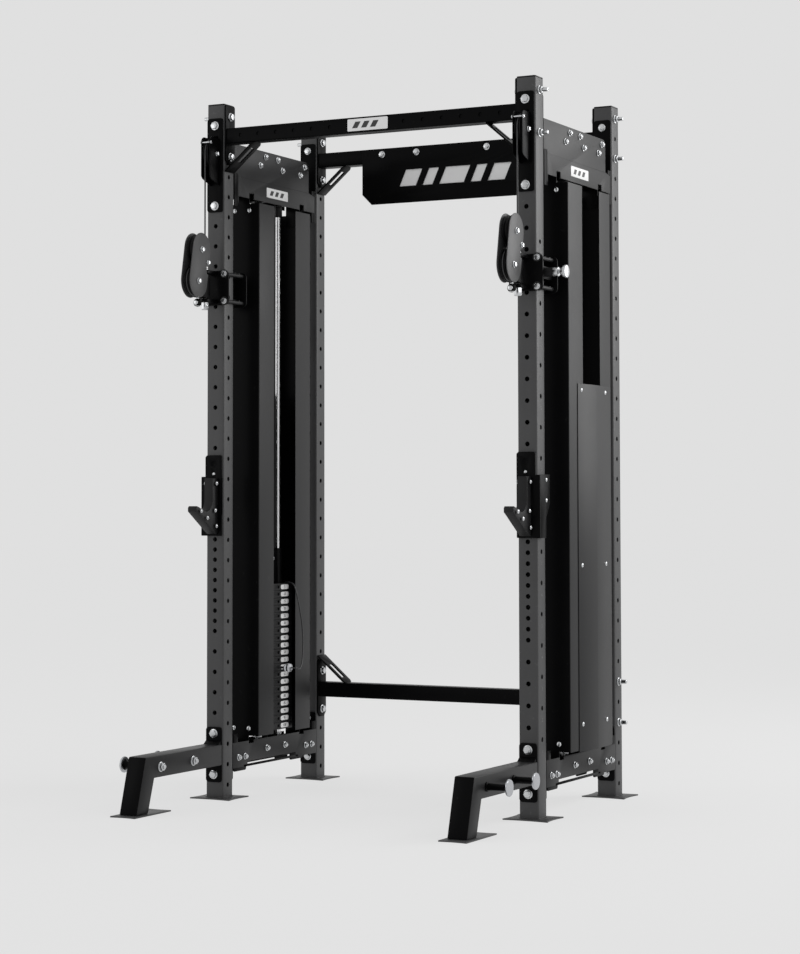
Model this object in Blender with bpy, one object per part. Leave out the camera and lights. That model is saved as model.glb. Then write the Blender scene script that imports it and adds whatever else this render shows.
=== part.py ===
"""Dual-tower cable crossover machine, in metres, +Z up, footprint centred on the origin.

The shapes are drawn in rack coordinates: x = 0 between the towers, y = 0 at the front uprights'
front faces with +Y towards the back, z = 0 at the floor. Each tower is drawn once, on the +X side,
and mirrored for the -X side. One empty carries everything and centres the footprint.
"""

from math import cos, pi, radians, sin

import bpy
from mathutils import Matrix, Vector

# Frame
SECTION = 0.075  # square upright tube
WALL = 0.003
FRAME_WIDTH = 1.387  # over the uprights
FRAME_DEPTH = 0.758  # front face of the front uprights to front face of the rear ones
HEIGHT = 2.692
CAP = 0.004
BASE_PLATE = (0.175, 0.150, 0.005)
GAP = 0.0004  # between pieces that touch
FLANGE = 0.006
BEAM = 0.060
BEAM_TOP_Z = 2.595
LOWER_BAR_TOP_Z = 0.399
STRAP_HALF = 0.034

# Tower
TC = (FRAME_WIDTH - SECTION) / 2  # centre plane of a tower
X_IN, X_OUT = TC - SECTION / 2, TC + SECTION / 2
STACK_Y = SECTION + (FRAME_DEPTH - SECTION) / 2
SHEET = 0.002
SIDE_PLATE = 0.005
SHROUD_HALF = 0.079
SHROUD_Y = (0.205, 0.626)
SHROUD_Z = (0.225, 2.322)
SLOT_INNER_Y = (0.323, 0.502)
SLOT_OUTER_Y = (0.342, 0.516)
COVER_Y = (0.285, 0.613)
COVER_Z = (0.220, 1.580)
COVER_RISE = 0.009

# Weight stack
PLATES, LIFTED_PLATES = 20, 12
PLATE_PITCH = 0.0291
PLATE_GROOVE = 0.0012
PLATE_X, PLATE_Y = 0.098, 0.230
STACK_BOTTOM = 0.2325
STACK_SPLIT = STACK_BOTTOM + (PLATES - LIFTED_PLATES) * PLATE_PITCH
STACK_TOP = STACK_BOTTOM + PLATES * PLATE_PITCH
PIN_Z = STACK_SPLIT + PLATE_PITCH / 2
ROD_SPACING, ROD_R = 0.080, 0.0125
ROD_Z = (0.1954, 2.3446)

# Cable and pulleys
CABLE_R = 0.003
PULLEY_R, GROOVE_R, PULLEY_HALF = 0.058, 0.052, 0.011
LINE_R = 0.0555  # radius of the cable's centre line round a pulley
AXLE_R, BORE_R = 0.006, 0.0066
STRAND = 0.055  # each side of the stack's centre line
TOP_AXLE = (-0.025, 2.492)
HEAD_AXLE = (STACK_Y - STRAND - LINE_R, 2.486)
FLOATING_AXLE = (STACK_Y, 0.915)
FRONT_CABLE_Y = TOP_AXLE[0] - LINE_R
ANCHOR = (STACK_Y + STRAND, 2.486)

# Trolley
TROLLEY_Z = (1.903, 2.0375)
TROLLEY_X = (TC - 0.065, TC + 0.068)
PIN_BAR_X = (X_OUT + 0.0075, X_OUT + 0.0135)
PIN_BAR_Z = (1.950, 1.996)
LUG_Z = (1.9165, 2.028)
SWIVEL = (TC, FRONT_CABLE_Y)
UPPER_AXLE = (FRONT_CABLE_Y - LINE_R, 2.109)
LOWER_AXLE = (-0.160, 1.986)
HOUSING_R = 0.064
CHEEK_X = (0.0175, 0.0205)
POP_PIN = (SECTION / 2, 1.973)
BARREL_END, KNOB_X = 0.767, (0.774, 0.801)

# Foot
FOOT_TUBE_Z = (0.130, 0.210)
PEG_Y, PEG_Z = (-0.450, -0.220), 0.168
PEG_LENGTH = 0.088

FOOTPRINT_Y = (-0.650, FRAME_DEPTH + SECTION / 2 + BASE_PLATE[1] / 2)

LOOKS = {  # base colour, roughness, metallic
    "black_paint": ((0.018, 0.018, 0.019), 0.42, 0.0),
    "stack_black": ((0.022, 0.022, 0.024), 0.5, 0.0),
    "plastic": ((0.012, 0.012, 0.013), 0.5, 0.0),
    "nylon": ((0.03, 0.03, 0.032), 0.38, 0.0),
    "chrome": ((0.75, 0.76, 0.78), 0.12, 1.0),
    "zinc": ((0.62, 0.63, 0.65), 0.3, 1.0),
    "rubber": ((0.015, 0.015, 0.015), 0.7, 0.0),
}


# ---------------------------------------------------------------- tools


def clear_scene():
    for obj in list(bpy.data.objects):
        bpy.data.objects.remove(obj, do_unlink=True)


def spot(axis, along, pair):
    """A point from its place along an axis and its two other coordinates, in X, Y, Z order."""
    if axis == "X":
        return (along, pair[0], pair[1])
    if axis == "Y":
        return (pair[0], along, pair[1])
    return (pair[0], pair[1], along)


def prism(outline, axis, low, high):
    """Corners and faces of an outline drawn out along an axis."""
    count = len(outline)
    area = sum(
        outline[i][0] * outline[(i + 1) % count][1] - outline[(i + 1) % count][0] * outline[i][1]
        for i in range(count)
    )
    # The pair (x, z) across Y runs the other way round from (y, z) and (x, y).
    if (area > 0) == (axis == "Y"):
        outline = outline[::-1]
    points = [spot(axis, low, pair) for pair in outline]
    points += [spot(axis, high, pair) for pair in outline]
    faces = [tuple(reversed(range(count))), tuple(range(count, 2 * count))]
    for i in range(count):
        j = (i + 1) % count
        faces.append((i, j, count + j, count + i))
    return points, faces


def box(low, high):
    outline = [(low[1], low[2]), (high[1], low[2]), (high[1], high[2]), (low[1], high[2])]
    return prism(outline, "X", low[0], high[0])


def circle(centre, radius, segments=16, start=0.0):
    step = 2 * pi / segments
    return [
        (centre[0] + radius * cos(start + i * step), centre[1] + radius * sin(start + i * step))
        for i in range(segments)
    ]


def arc(centre, radius, first, last, steps):
    """Points on an arc, its angles in degrees from the first coordinate towards the second."""
    angles = [radians(first + (last - first) * i / steps) for i in range(steps + 1)]
    return [(centre[0] + radius * cos(a), centre[1] + radius * sin(a)) for a in angles]


def rod(axis, centre, radius, low, high, segments=16):
    return prism(circle(centre, radius, segments, pi / segments), axis, low, high)


def lathe(profile, axis, centre, segments=18):
    """Turns (radius, place along the axis) pairs round the axis. The profile is a closed loop."""
    points, faces = [], []
    for radius, along in profile:
        points += [spot(axis, along, pair) for pair in circle(centre, radius, segments)]
    rows = len(profile)
    for row in range(rows):
        for i in range(segments):
            j, below = (i + 1) % segments, (row + 1) % rows
            faces.append(
                (row * segments + i, row * segments + j, below * segments + j, below * segments + i)
            )
    return points, faces


def spindle(profile, axis, centre, segments=12):
    """Turns (radius, place along the axis) pairs, in rising order, into a solid with flat ends."""
    points, faces = [], []
    for radius, along in profile:
        points += [spot(axis, along, pair) for pair in circle(centre, radius, segments)]
    for row in range(len(profile) - 1):
        first, second = row * segments, (row + 1) * segments
        for i in range(segments):
            j = (i + 1) % segments
            faces.append((first + i, first + j, second + j, second + i))
    last = (len(profile) - 1) * segments
    faces.append(tuple(reversed(range(segments))))
    faces.append(tuple(range(last, last + segments)))
    return points, faces


def make_mesh(name, shape, side):
    """A mesh of the shape, mirrored for the -X side, with its faces pointing out."""
    points, faces = shape
    mesh = bpy.data.meshes.new(name)
    mesh.from_pydata([(side * x, y, z) for x, y, z in points], [], faces)
    mesh.update()
    volume = sum(
        mesh.vertices[t.vertices[0]].co.dot(
            mesh.vertices[t.vertices[1]].co.cross(mesh.vertices[t.vertices[2]].co)
        )
        for t in triangles(mesh)
    )
    if volume < 0:
        mesh.flip_normals()
    return mesh


def triangles(mesh):
    mesh.calc_loop_triangles()
    return mesh.loop_triangles


def finish(obj, look):
    colour, roughness, metallic = LOOKS[look]
    material = bpy.data.materials.new(obj.name + "_finish")
    material.use_nodes = True
    shader = material.node_tree.nodes["Principled BSDF"]
    shader.inputs["Base Color"].default_value = (*colour, 1)
    shader.inputs["Roughness"].default_value = roughness
    shader.inputs["Metallic"].default_value = metallic
    obj.data.materials.append(material)


def add_object(name, data, origin=(0, 0, 0)):
    obj = bpy.data.objects.new(name, data)
    bpy.context.scene.collection.objects.link(obj)
    obj.parent = machine
    obj.location = origin
    return obj


def build(name, look, adds, cuts=(), side=1, origin=(0, 0, 0)):
    """One solid: the union of the added shapes less the cut ones, with its origin where it moves."""
    origin = (side * origin[0], origin[1], origin[2])
    mesh = make_mesh(name, adds[0], side)
    mesh.transform(Matrix.Translation(-Vector(origin)))
    obj = add_object(name, mesh, origin)
    steps = [("UNION", shape) for shape in adds[1:]] + [("DIFFERENCE", shape) for shape in cuts]
    for number, (operation, shape) in enumerate(steps):
        helper_name = f"{name}_{operation.lower()}_{number}"
        helper = add_object(helper_name, make_mesh(helper_name, shape, side))
        helper.hide_render = True
        helper.display_type = "WIRE"
        modifier = obj.modifiers.new(helper_name, "BOOLEAN")
        modifier.operation = operation
        modifier.solver = "EXACT"
        modifier.object = helper
    finish(obj, look)
    return obj


def build_cable(name, look, route, radius, side, origin=(0, 0, 0)):
    """A round cable along a route of (x, y, z) points, with flat ends."""
    curve = bpy.data.curves.new(name, "CURVE")
    curve.dimensions = "3D"
    curve.bevel_depth = radius
    curve.bevel_resolution = 2
    curve.use_fill_caps = True
    spline = curve.splines.new("POLY")
    spline.points.add(len(route) - 1)
    for point, (x, y, z) in zip(spline.points, route):
        point.co = (side * (x - origin[0]), y - origin[1], z - origin[2], 1)
    obj = add_object(name, curve, (side * origin[0], origin[1], origin[2]))
    finish(obj, look)
    return obj


def smooth_route(places, steps):
    """Points on a Catmull-Rom curve through the places, steps to each stretch."""
    ends = [places[0], *places, places[-1]]
    route = []
    for a, b, c, d in zip(ends, ends[1:], ends[2:], ends[3:]):
        for i in range(steps):
            t = i / steps
            route.append(
                tuple(
                    0.5 * (2 * q + (r - p) * t + (2 * p - 5 * q + 4 * r - s) * t * t
                           + (3 * q - p - 3 * r + s) * t ** 3)
                    for p, q, r, s in zip(a, b, c, d)
                )
            )
    return route + [places[-1]]


# ---------------------------------------------------------------- frame


def upright(name, front_y, side, cable_slots):
    """A square tube with a cap and a base plate, open at the bottom."""
    middle = front_y + SECTION / 2
    tube = box((X_IN, front_y, 0.001), (X_OUT, front_y + SECTION, HEIGHT))
    plate_x, plate_y, plate_z = BASE_PLATE
    plate = box((TC - plate_x / 2, middle - plate_y / 2, 0), (TC + plate_x / 2, middle + plate_y / 2, plate_z))
    bore = box(
        (X_IN + WALL, front_y + WALL, -0.01), (X_OUT - WALL, front_y + SECTION - WALL, HEIGHT - CAP)
    )
    cuts = [bore]
    if cable_slots:
        cuts.append(box((TC - 0.014, -0.01, 2.425), (TC + 0.014, 0.02, 2.566)))
        cuts.append(box((TC - 0.010, 0.05, 2.520), (TC + 0.010, 0.09, 2.575)))
        cuts.append(rod("X", POP_PIN, 0.009, X_OUT - 0.02, X_OUT + 0.02, 12))
    build(name, "black_paint", [tube, plate], cuts, side)


def strap(sign, y, beam_z, post_z):
    """A flat brace from the flange on the upright to the beam, leaning at about 40 degrees."""
    post_x, beam_x, thick = X_IN - 0.004, X_IN - 0.152, 0.006
    outline = [
        (sign * post_x, post_z),
        (sign * beam_x, beam_z),
        (sign * beam_x, beam_z + (0.006 if beam_z > post_z else -0.006)),
        (sign * (beam_x + 0.010), beam_z + (0.006 if beam_z > post_z else -0.006)),
        (sign * post_x, post_z + (thick * 1.35 if beam_z > post_z else -thick * 1.35)),
    ]
    return prism(outline, "Y", y - STRAP_HALF, y + STRAP_HALF)


def strap_slot(sign, y, beam_z, post_z):
    """The cutter for the long hole in a strap."""
    low_x, high_x = X_IN - 0.053, X_IN - 0.120
    slope = (beam_z - post_z) / (-0.148)
    low_z, high_z = (post_z + slope * (x - X_IN + 0.004) for x in (low_x, high_x))
    reach = 0.014
    outline = [
        (sign * low_x, low_z - reach),
        (sign * low_x, low_z + reach),
        (sign * high_x, high_z + reach),
        (sign * high_x, high_z - reach),
    ]
    return prism(outline, "Y", y - 0.008, y + 0.008)


def beam(name, front_y, top_z, flange_z, strap_ends):
    """A square tube between two flanges, with a brace at each end and its ends open."""
    inset = (SECTION - BEAM) / 2
    low_y, high_y = front_y + inset, front_y + SECTION - inset
    middle = front_y + SECTION / 2
    reach = X_IN - GAP
    adds = [box((-reach + 0.001, low_y, top_z - BEAM), (reach - 0.001, high_y, top_z))]
    cuts = []
    for sign in (-1, 1):
        ends = sorted((sign * reach, sign * (reach - FLANGE)))
        low, high = flange_z
        flange = [
            (middle - 0.035, low + 0.018),
            (middle - 0.017, low),
            (middle + 0.017, low),
            (middle + 0.035, low + 0.018),
            (middle + 0.035, high),
            (middle - 0.035, high),
        ]
        adds.append(prism(flange, "X", *ends))
        adds.append(strap(sign, middle, *strap_ends))
        cuts.append(strap_slot(sign, middle, *strap_ends))
    hollow_low = (-reach - 0.01, low_y + WALL, top_z - BEAM + WALL)
    hollow_high = (reach + 0.01, high_y - WALL, top_z - WALL)
    build(name, "black_paint", adds, [box(hollow_low, hollow_high), *cuts])


def sign_plate():
    half, corner, low, high = 0.405, 0.043, 2.364, 2.593
    outline = [
        (-half, low + corner),
        (-half + corner, low),
        (half - corner, low),
        (half, low + corner),
        (half, high),
        (-half, high),
    ]
    front = FRAME_DEPTH + (SECTION - BEAM) / 2 - GAP
    build("sign_plate", "black_paint", [prism(outline, "Y", front - 0.004, front)])


def make_frame():
    for side, hand in ((1, "right"), (-1, "left")):
        upright(f"upright_front_{hand}", 0.0, side, True)
        upright(f"upright_rear_{hand}", FRAME_DEPTH, side, False)
    top_flange = (BEAM_TOP_Z - 0.140, BEAM_TOP_Z + 0.093)
    under = BEAM_TOP_Z - BEAM
    beam("top_beam_front", 0.0, BEAM_TOP_Z, top_flange, (under, under - 0.098))
    beam("top_beam_rear", FRAME_DEPTH, BEAM_TOP_Z, top_flange, (under, under - 0.098))
    low_flange = (LOWER_BAR_TOP_Z - 0.139, LOWER_BAR_TOP_Z + 0.076)
    beam("lower_beam_rear", FRAME_DEPTH, LOWER_BAR_TOP_Z, low_flange, (LOWER_BAR_TOP_Z, LOWER_BAR_TOP_Z + 0.098))
    sign_plate()


# ---------------------------------------------------------------- tower


def end_plate(y, z):
    return box((TC - 0.035, y, z[0]), (TC + 0.035, y + FLANGE, z[1]))


def side_plates(outline):
    return [
        prism(outline, "X", X_IN, X_IN + SIDE_PLATE),
        prism(outline, "X", X_OUT - SIDE_PLATE, X_OUT),
    ]


def shroud_tabs(z):
    """Two plates across the tower that the shrouds are screwed to."""
    front, rear = SHROUD_Y[0] + SHEET + GAP, SHROUD_Y[1] - SHEET - GAP
    return [
        box((X_IN + 0.001, front, z[0]), (X_OUT - 0.001, front + 0.004, z[1])),
        box((X_IN + 0.001, rear - 0.004, z[0]), (X_OUT - 0.001, rear, z[1])),
    ]


def rod_blocks(z):
    """Blocks across the tower that hold the guide rods' ends."""
    return [
        box((X_IN + 0.001, y - 0.020, z[0]), (X_OUT - 0.001, y + 0.020, z[1]))
        for y in (STACK_Y - ROD_SPACING, STACK_Y + ROD_SPACING)
    ]


def tower_head(side, hand):
    front, rear = SECTION + GAP, FRAME_DEPTH - GAP
    outline = [
        (front, 2.545),
        (0.670, 2.545),
        (0.690, 2.525),
        (0.690, 2.420),
        (0.740, 2.410),
        (0.740, 2.342),
        (0.648, 2.342),
        (0.648, 2.365),
        (0.612, 2.365),
        (0.612, 2.342),
        (0.236, 2.342),
        (0.236, 2.365),
        (0.197, 2.365),
        (0.197, 2.342),
        (0.110, 2.342),
        (0.110, 2.432),
        (front, 2.432),
    ]
    plate_z = (2.334, 2.635)
    adds = side_plates(outline)
    adds += [end_plate(front, plate_z), end_plate(rear - FLANGE, plate_z)]
    # The rear end plate is joined to the side plates by a short web at its foot.
    adds.append(box((TC - 0.033, 0.700, 2.350), (TC + 0.033, rear - 0.001, 2.356)))
    adds += shroud_tabs((2.272, 2.400)) + rod_blocks((ROD_Z[1] + GAP, 2.375))
    adds.append(rod("X", HEAD_AXLE, AXLE_R, X_IN + 0.001, X_OUT - 0.001, 12))
    adds.append(rod("X", (ANCHOR[0], ANCHOR[1] + 0.012), 0.008, X_IN + 0.001, X_OUT - 0.001, 12))
    slot = box((TC - 0.010, front - 0.01, 2.520), (TC + 0.010, front + 0.02, 2.575))
    build(f"tower_head_{hand}", "black_paint", adds, [slot], side)


def tower_base(side, hand):
    front, rear = SECTION + GAP, FRAME_DEPTH - GAP
    outline = [
        (front, 0.109),
        (0.190, 0.109),
        (0.190, 0.128),
        (0.580, 0.128),
        (0.580, 0.109),
        (rear, 0.109),
        (rear, 0.207),
        (0.650, 0.207),
        (0.650, 0.196),
        (0.610, 0.196),
        (0.610, 0.207),
        (0.240, 0.207),
        (0.240, 0.196),
        (0.200, 0.196),
        (0.200, 0.207),
        (front, 0.207),
    ]
    plate_z = (0.064, 0.275)
    adds = side_plates(outline)
    adds += [end_plate(front, plate_z), end_plate(rear - FLANGE, plate_z)]
    adds += shroud_tabs((0.150, 0.280)) + rod_blocks((0.150, ROD_Z[0] - GAP))
    adds.append(box((X_IN + 0.001, STACK_Y - 0.09, 0.160), (X_OUT - 0.001, STACK_Y + 0.09, 0.168)))
    for y in (STACK_Y - 0.035, STACK_Y + 0.035):
        adds.append(rod("Z", (TC, y), 0.016, 0.165, STACK_BOTTOM - GAP, 12))
    build(f"tower_base_{hand}", "black_paint", adds, (), side)


def shroud(side, hand, name, face_y, inner_edge, outer_edge):
    """A folded sheet: a broad face and two returns towards the stack."""
    inward = 1 if inner_edge > face_y else -1
    near, far = TC - SHROUD_HALF, TC + SHROUD_HALF
    outline = [
        (near, face_y),
        (far, face_y),
        (far, outer_edge),
        (far - SHEET, outer_edge),
        (far - SHEET, face_y + inward * SHEET),
        (near + SHEET, face_y + inward * SHEET),
        (near + SHEET, inner_edge),
        (near, inner_edge),
    ]
    build(f"{name}_{hand}", "black_paint", [prism(outline, "Z", *SHROUD_Z)], (), side)


def access_cover(side, hand):
    """A sheet folded along its middle, standing a little proud of the shrouds' outer faces."""
    low, high = COVER_Y
    middle = (low + high) / 2
    foot = TC + SHROUD_HALF + 2 * GAP
    crest = foot + COVER_RISE
    outline = [
        (foot, low),
        (foot + SHEET, low),
        (crest + SHEET, middle),
        (foot + SHEET, high),
        (foot, high),
        (crest, middle),
    ]
    build(f"access_cover_{hand}", "black_paint", [prism(outline, "Z", *COVER_Z)], (), side)


def guide_rods(side, hand):
    for name, y in (("front", STACK_Y - ROD_SPACING), ("rear", STACK_Y + ROD_SPACING)):
        low, high = ROD_Z
        collar, lower, upper = 0.017, low + 0.020, high - 0.045
        profile = [
            (collar, low),
            (collar, lower),
            (ROD_R, lower + 0.001),
            (ROD_R, upper - 0.001),
            (collar, upper),
            (collar, high),
        ]
        build(f"guide_rod_{name}_{hand}", "chrome", [spindle(profile, "Z", (TC, y), 16)], (), side)


# ---------------------------------------------------------------- weight stack


def plate_block(low, count):
    """Several weight plates in one block, with a groove at each joint on both broad sides."""
    near, far = TC - PLATE_X / 2, TC + PLATE_X / 2
    depth, half = 0.004, PLATE_GROOVE / 2
    left, right = [], []
    for joint in range(1, count):
        z = low + joint * PLATE_PITCH
        left += [(near, z + half), (near + depth, z + half), (near + depth, z - half), (near, z - half)]
        right += [(far, z - half), (far - depth, z - half), (far - depth, z + half), (far, z + half)]
    high = low + count * PLATE_PITCH - GAP
    corners = [left[i : i + 4] for i in range(0, len(left), 4)]
    falling = [pair for corner in reversed(corners) for pair in corner]
    outline = [(near, low), (far, low), *right, (far, high), (near, high), *falling]
    return prism(outline, "Y", STACK_Y - PLATE_Y / 2, STACK_Y + PLATE_Y / 2)


def rod_holes(low, high):
    return [
        rod("Z", (TC, y), ROD_R + 0.0014, low - 0.01, high + 0.01, 12)
        for y in (STACK_Y - ROD_SPACING, STACK_Y + ROD_SPACING)
    ]


def stack(side, hand):
    resting = plate_block(STACK_BOTTOM, PLATES - LIFTED_PLATES)
    cuts = rod_holes(STACK_BOTTOM, STACK_SPLIT)
    cuts.append(rod("Z", (TC, STACK_Y), 0.0145, STACK_BOTTOM - 0.01, STACK_SPLIT + 0.01))
    build(f"stack_resting_{hand}", "stack_black", [resting], cuts, side)

    lifted = plate_block(STACK_SPLIT, LIFTED_PLATES)
    selector_rod = rod("Z", (TC, STACK_Y), 0.0125, STACK_BOTTOM + 0.006, STACK_SPLIT + 0.01, 12)
    bracket = [
        (STACK_Y - 0.046, STACK_TOP - 0.002),
        (STACK_Y + 0.046, STACK_TOP - 0.002),
        (STACK_Y + 0.046, STACK_TOP + 0.060),
        (STACK_Y + 0.022, 0.955),
        (STACK_Y - 0.022, 0.955),
        (STACK_Y - 0.046, STACK_TOP + 0.060),
    ]
    adds = [lifted, selector_rod]
    for low, high in ((-0.020, -0.016), (0.016, 0.020)):
        adds.append(prism(bracket, "X", TC + low, TC + high))
    adds.append(rod("X", FLOATING_AXLE, AXLE_R, TC - 0.025, TC + 0.025, 12))
    cuts = rod_holes(STACK_SPLIT, STACK_TOP)
    cuts.append(rod("X", (STACK_Y, PIN_Z), 0.0062, TC - 0.06, TC + 0.004, 12))
    build(f"stack_lifted_{hand}", "stack_black", adds, cuts, side)


def selector_pin(side, hand):
    start = TC - PLATE_X / 2
    profile = [
        (0.011, start - 0.058),
        (0.018, start - 0.052),
        (0.018, start - 0.040),
        (0.013, start - 0.030),
        (0.005, start - 0.029),
        (0.005, TC - 0.002),
    ]
    pin = spindle(profile, "X", (STACK_Y, PIN_Z))
    build(f"selector_pin_{hand}", "zinc", [pin], (), side, (start, STACK_Y, PIN_Z))


def lanyard(side, hand):
    """The cord that keeps the selector pin with the stack, held at the top plate and at the pin."""
    face = TC - PLATE_X / 2
    places = [
        (face + 0.010, STACK_Y + 0.070, STACK_TOP + 0.004),
        (face - 0.010, STACK_Y + 0.070, STACK_TOP + 0.004),
        (face - 0.030, STACK_Y + 0.071, STACK_TOP - 0.006),
        (face - 0.042, STACK_Y + 0.074, STACK_TOP - 0.042),
        (face - 0.050, STACK_Y + 0.084, STACK_TOP - 0.100),
        (face - 0.056, STACK_Y + 0.094, STACK_TOP - 0.170),
        (face - 0.062, STACK_Y + 0.091, STACK_TOP - 0.240),
        (face - 0.070, STACK_Y + 0.072, STACK_TOP - 0.300),
        (face - 0.077, STACK_Y + 0.040, STACK_TOP - 0.338),
        (face - 0.076, STACK_Y + 0.010, PIN_Z),
        (face - 0.068, STACK_Y, PIN_Z),
        (face - 0.0585, STACK_Y, PIN_Z),
    ]
    build_cable(f"lanyard_{hand}", "rubber", smooth_route(places, 2), 0.002, side)


# ---------------------------------------------------------------- pulleys and cable


def pulley(name, side, axle):
    """A grooved wheel with a bored hub."""
    profile = [
        (BORE_R, -PULLEY_HALF),
        (PULLEY_R, -PULLEY_HALF),
        (GROOVE_R, -0.002),
        (GROOVE_R, 0.002),
        (PULLEY_R, PULLEY_HALF),
        (BORE_R, PULLEY_HALF),
    ]
    wheel = lathe([(radius, TC + along) for radius, along in profile], "X", axle, 16)
    build(name, "nylon", [wheel], (), side, (TC, *axle))


def pulleys(side, hand):
    pulley(f"top_pulley_{hand}", side, TOP_AXLE)
    pulley(f"head_pulley_{hand}", side, HEAD_AXLE)
    pulley(f"floating_pulley_{hand}", side, FLOATING_AXLE)
    pulley(f"trolley_pulley_upper_{hand}", side, UPPER_AXLE)
    pulley(f"trolley_pulley_lower_{hand}", side, LOWER_AXLE)


def top_pulley_bracket(side, hand):
    """The front plate bolted to the upright, with two cheeks that hold the pulley's axle."""
    plate = box((TC - 0.035, -FLANGE - GAP, 2.267), (TC + 0.035, -GAP, 2.635))
    cheek = [
        (-0.003, 2.370),
        (-0.070, 2.392),
        (-0.079, 2.402),
        (-0.079, 2.530),
        *arc((-0.057, 2.533), 0.022, 180, 90, 4),
        (-0.003, 2.555),
    ]
    adds = [plate]
    for low, high in ((-0.020, -0.0165), (0.0165, 0.020)):
        adds.append(prism(cheek, "X", TC + low, TC + high))
    adds.append(rod("X", TOP_AXLE, AXLE_R, TC - 0.026, TC + 0.026, 12))
    adds.append(rod("X", (-0.0745, 2.532), 0.003, TC - 0.024, TC + 0.024, 8))
    slot = box((TC - 0.014, -0.012, 2.425), (TC + 0.014, 0.01, 2.566))
    build(f"top_pulley_bracket_{hand}", "black_paint", adds, [slot], side)


def cables(side, hand):
    front = [(TC, FRONT_CABLE_Y, z) for z in (TOP_AXLE[1] - GAP, 2.3, UPPER_AXLE[1])]
    build_cable(f"cable_front_{hand}", "rubber", front, CABLE_R, side)
    over = arc(TOP_AXLE, LINE_R, 180, 91, 8) + arc(HEAD_AXLE, LINE_R, 91, 0, 8)
    build_cable(f"cable_top_{hand}", "rubber", [(TC, y, z) for y, z in over], CABLE_R, side)
    down = [(STACK_Y - STRAND, HEAD_AXLE[1] - GAP)]
    loop = arc(FLOATING_AXLE, LINE_R, 180, 360, 14)
    up = [(ANCHOR[0] + LINE_R - STRAND, ANCHOR[1])]
    route = [(TC, y, z) for y, z in down + loop + up]
    build_cable(f"cable_stack_{hand}", "rubber", route, CABLE_R, side)


# ---------------------------------------------------------------- trolley


def trolley_carriage(side, hand):
    """Plates in front of and behind the upright on four spacers, a bar for the locking pin, and the swivel's pin."""
    near, far = TROLLEY_X
    low, high = TROLLEY_Z
    front_y, rear_y = -0.012, 0.126
    adds = [
        box((near, front_y, low), (far, front_y + 0.006, high)),
        box((near, rear_y, low), (far, rear_y + 0.006, high)),
        box((PIN_BAR_X[0], front_y + 0.001, PIN_BAR_Z[0]), (PIN_BAR_X[1], rear_y + 0.005, PIN_BAR_Z[1])),
    ]
    for z in (low + 0.016, high - 0.0125):
        for x in (TC - 0.0465, TC + 0.0465):
            adds.append(rod("Y", (x, z), 0.0075, front_y - 0.006, rear_y + 0.012, 8))
        adds.append(rod("X", (0.0945, z + 0.0023), 0.013, TC - 0.0523, TC + 0.0518, 10))
    for z in LUG_Z:
        adds.append(box((TC - 0.015, SWIVEL[1] - 0.014, z - 0.007), (TC + 0.015, front_y + 0.001, z + 0.007)))
    adds.append(rod("Z", SWIVEL, 0.008, 1.884, 2.039, 12))
    adds.append(rod("Z", SWIVEL, 0.015, 1.880, LUG_Z[0] - 0.006, 6))
    barrel = rod("X", POP_PIN, 0.017, PIN_BAR_X[0] + 0.001, BARREL_END, 12)
    bore = rod("X", POP_PIN, 0.0070, TC + 0.04, BARREL_END + 0.01, 10)
    build(f"trolley_carriage_{hand}", "black_paint", [*adds, barrel], [bore], side)


def pop_pin(side, hand):
    """The locking pin with its knob. Its nose stops just outside the upright's face."""
    near, far = KNOB_X
    profile = [
        (0.006, X_OUT + 0.002),
        (0.006, near - 0.001),
        (0.012, near),
        (0.0245, near + 0.006),
        (0.0245, far - 0.007),
        (0.018, far),
    ]
    knob = spindle(profile, "X", POP_PIN, 16)
    build(f"pop_pin_{hand}", "plastic", [knob], (), side, (near, *POP_PIN))


def housing_outline():
    """Two rounds joined by straight sides, seen from the side."""
    rise, run = UPPER_AXLE[1] - LOWER_AXLE[1], UPPER_AXLE[0] - LOWER_AXLE[0]
    lean = -run / rise * 180 / pi
    upper = arc(UPPER_AXLE, HOUSING_R, lean, lean + 180, 9)
    lower = arc(LOWER_AXLE, HOUSING_R, lean + 180, lean + 360, 9)
    return upper + lower


def pulley_housing(side, hand):
    """Two cheeks for the twin pulleys, on a sleeve that turns on the carriage's upright pin."""
    cheek = housing_outline()
    web = [(-0.130, 1.9265), (SWIVEL[1] + 0.006, 1.9265), (SWIVEL[1] + 0.006, 2.010), (-0.130, 2.010)]
    low, high = CHEEK_X
    adds = []
    for sign in (-1, 1):
        ends = sorted((TC + sign * low, TC + sign * high))
        adds.append(prism(cheek, "X", *ends))
        adds.append(prism(web, "X", ends[0] + 0.0001, ends[1] - 0.0001))
    for axle in (UPPER_AXLE, LOWER_AXLE):
        adds.append(rod("X", axle, AXLE_R, TC - high - 0.006, TC + high + 0.006, 10))
    adds.append(rod("Z", SWIVEL, 0.0187, 1.9245, 2.016, 14))
    notch = box((TC - 0.03, SWIVEL[1] - 0.020, 2.016), (TC + 0.03, SWIVEL[1] + 0.03, 2.046))
    bore = rod("Z", SWIVEL, 0.0087, 1.90, 2.03, 12)
    build(f"pulley_housing_{hand}", "black_paint", adds, [notch, bore], side, (*SWIVEL, LOWER_AXLE[1]))


def ball_stop(side, hand):
    """The moulded ball on the end of the cable, with the short end that it hangs on."""
    centre_z, radius = 1.9045, 0.016
    profile = [(radius * cos(a), centre_z + radius * sin(a)) for a in map(radians, range(-75, 80, 25))]
    profile.append((0.003, profile[-1][1] + 0.0005))
    profile.append((0.003, centre_z + 0.026))
    build(f"ball_stop_{hand}", "rubber", [spindle(profile, "Z", (TC, -0.135))], (), side, (TC, -0.135, centre_z))


# ---------------------------------------------------------------- rack parts


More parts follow.
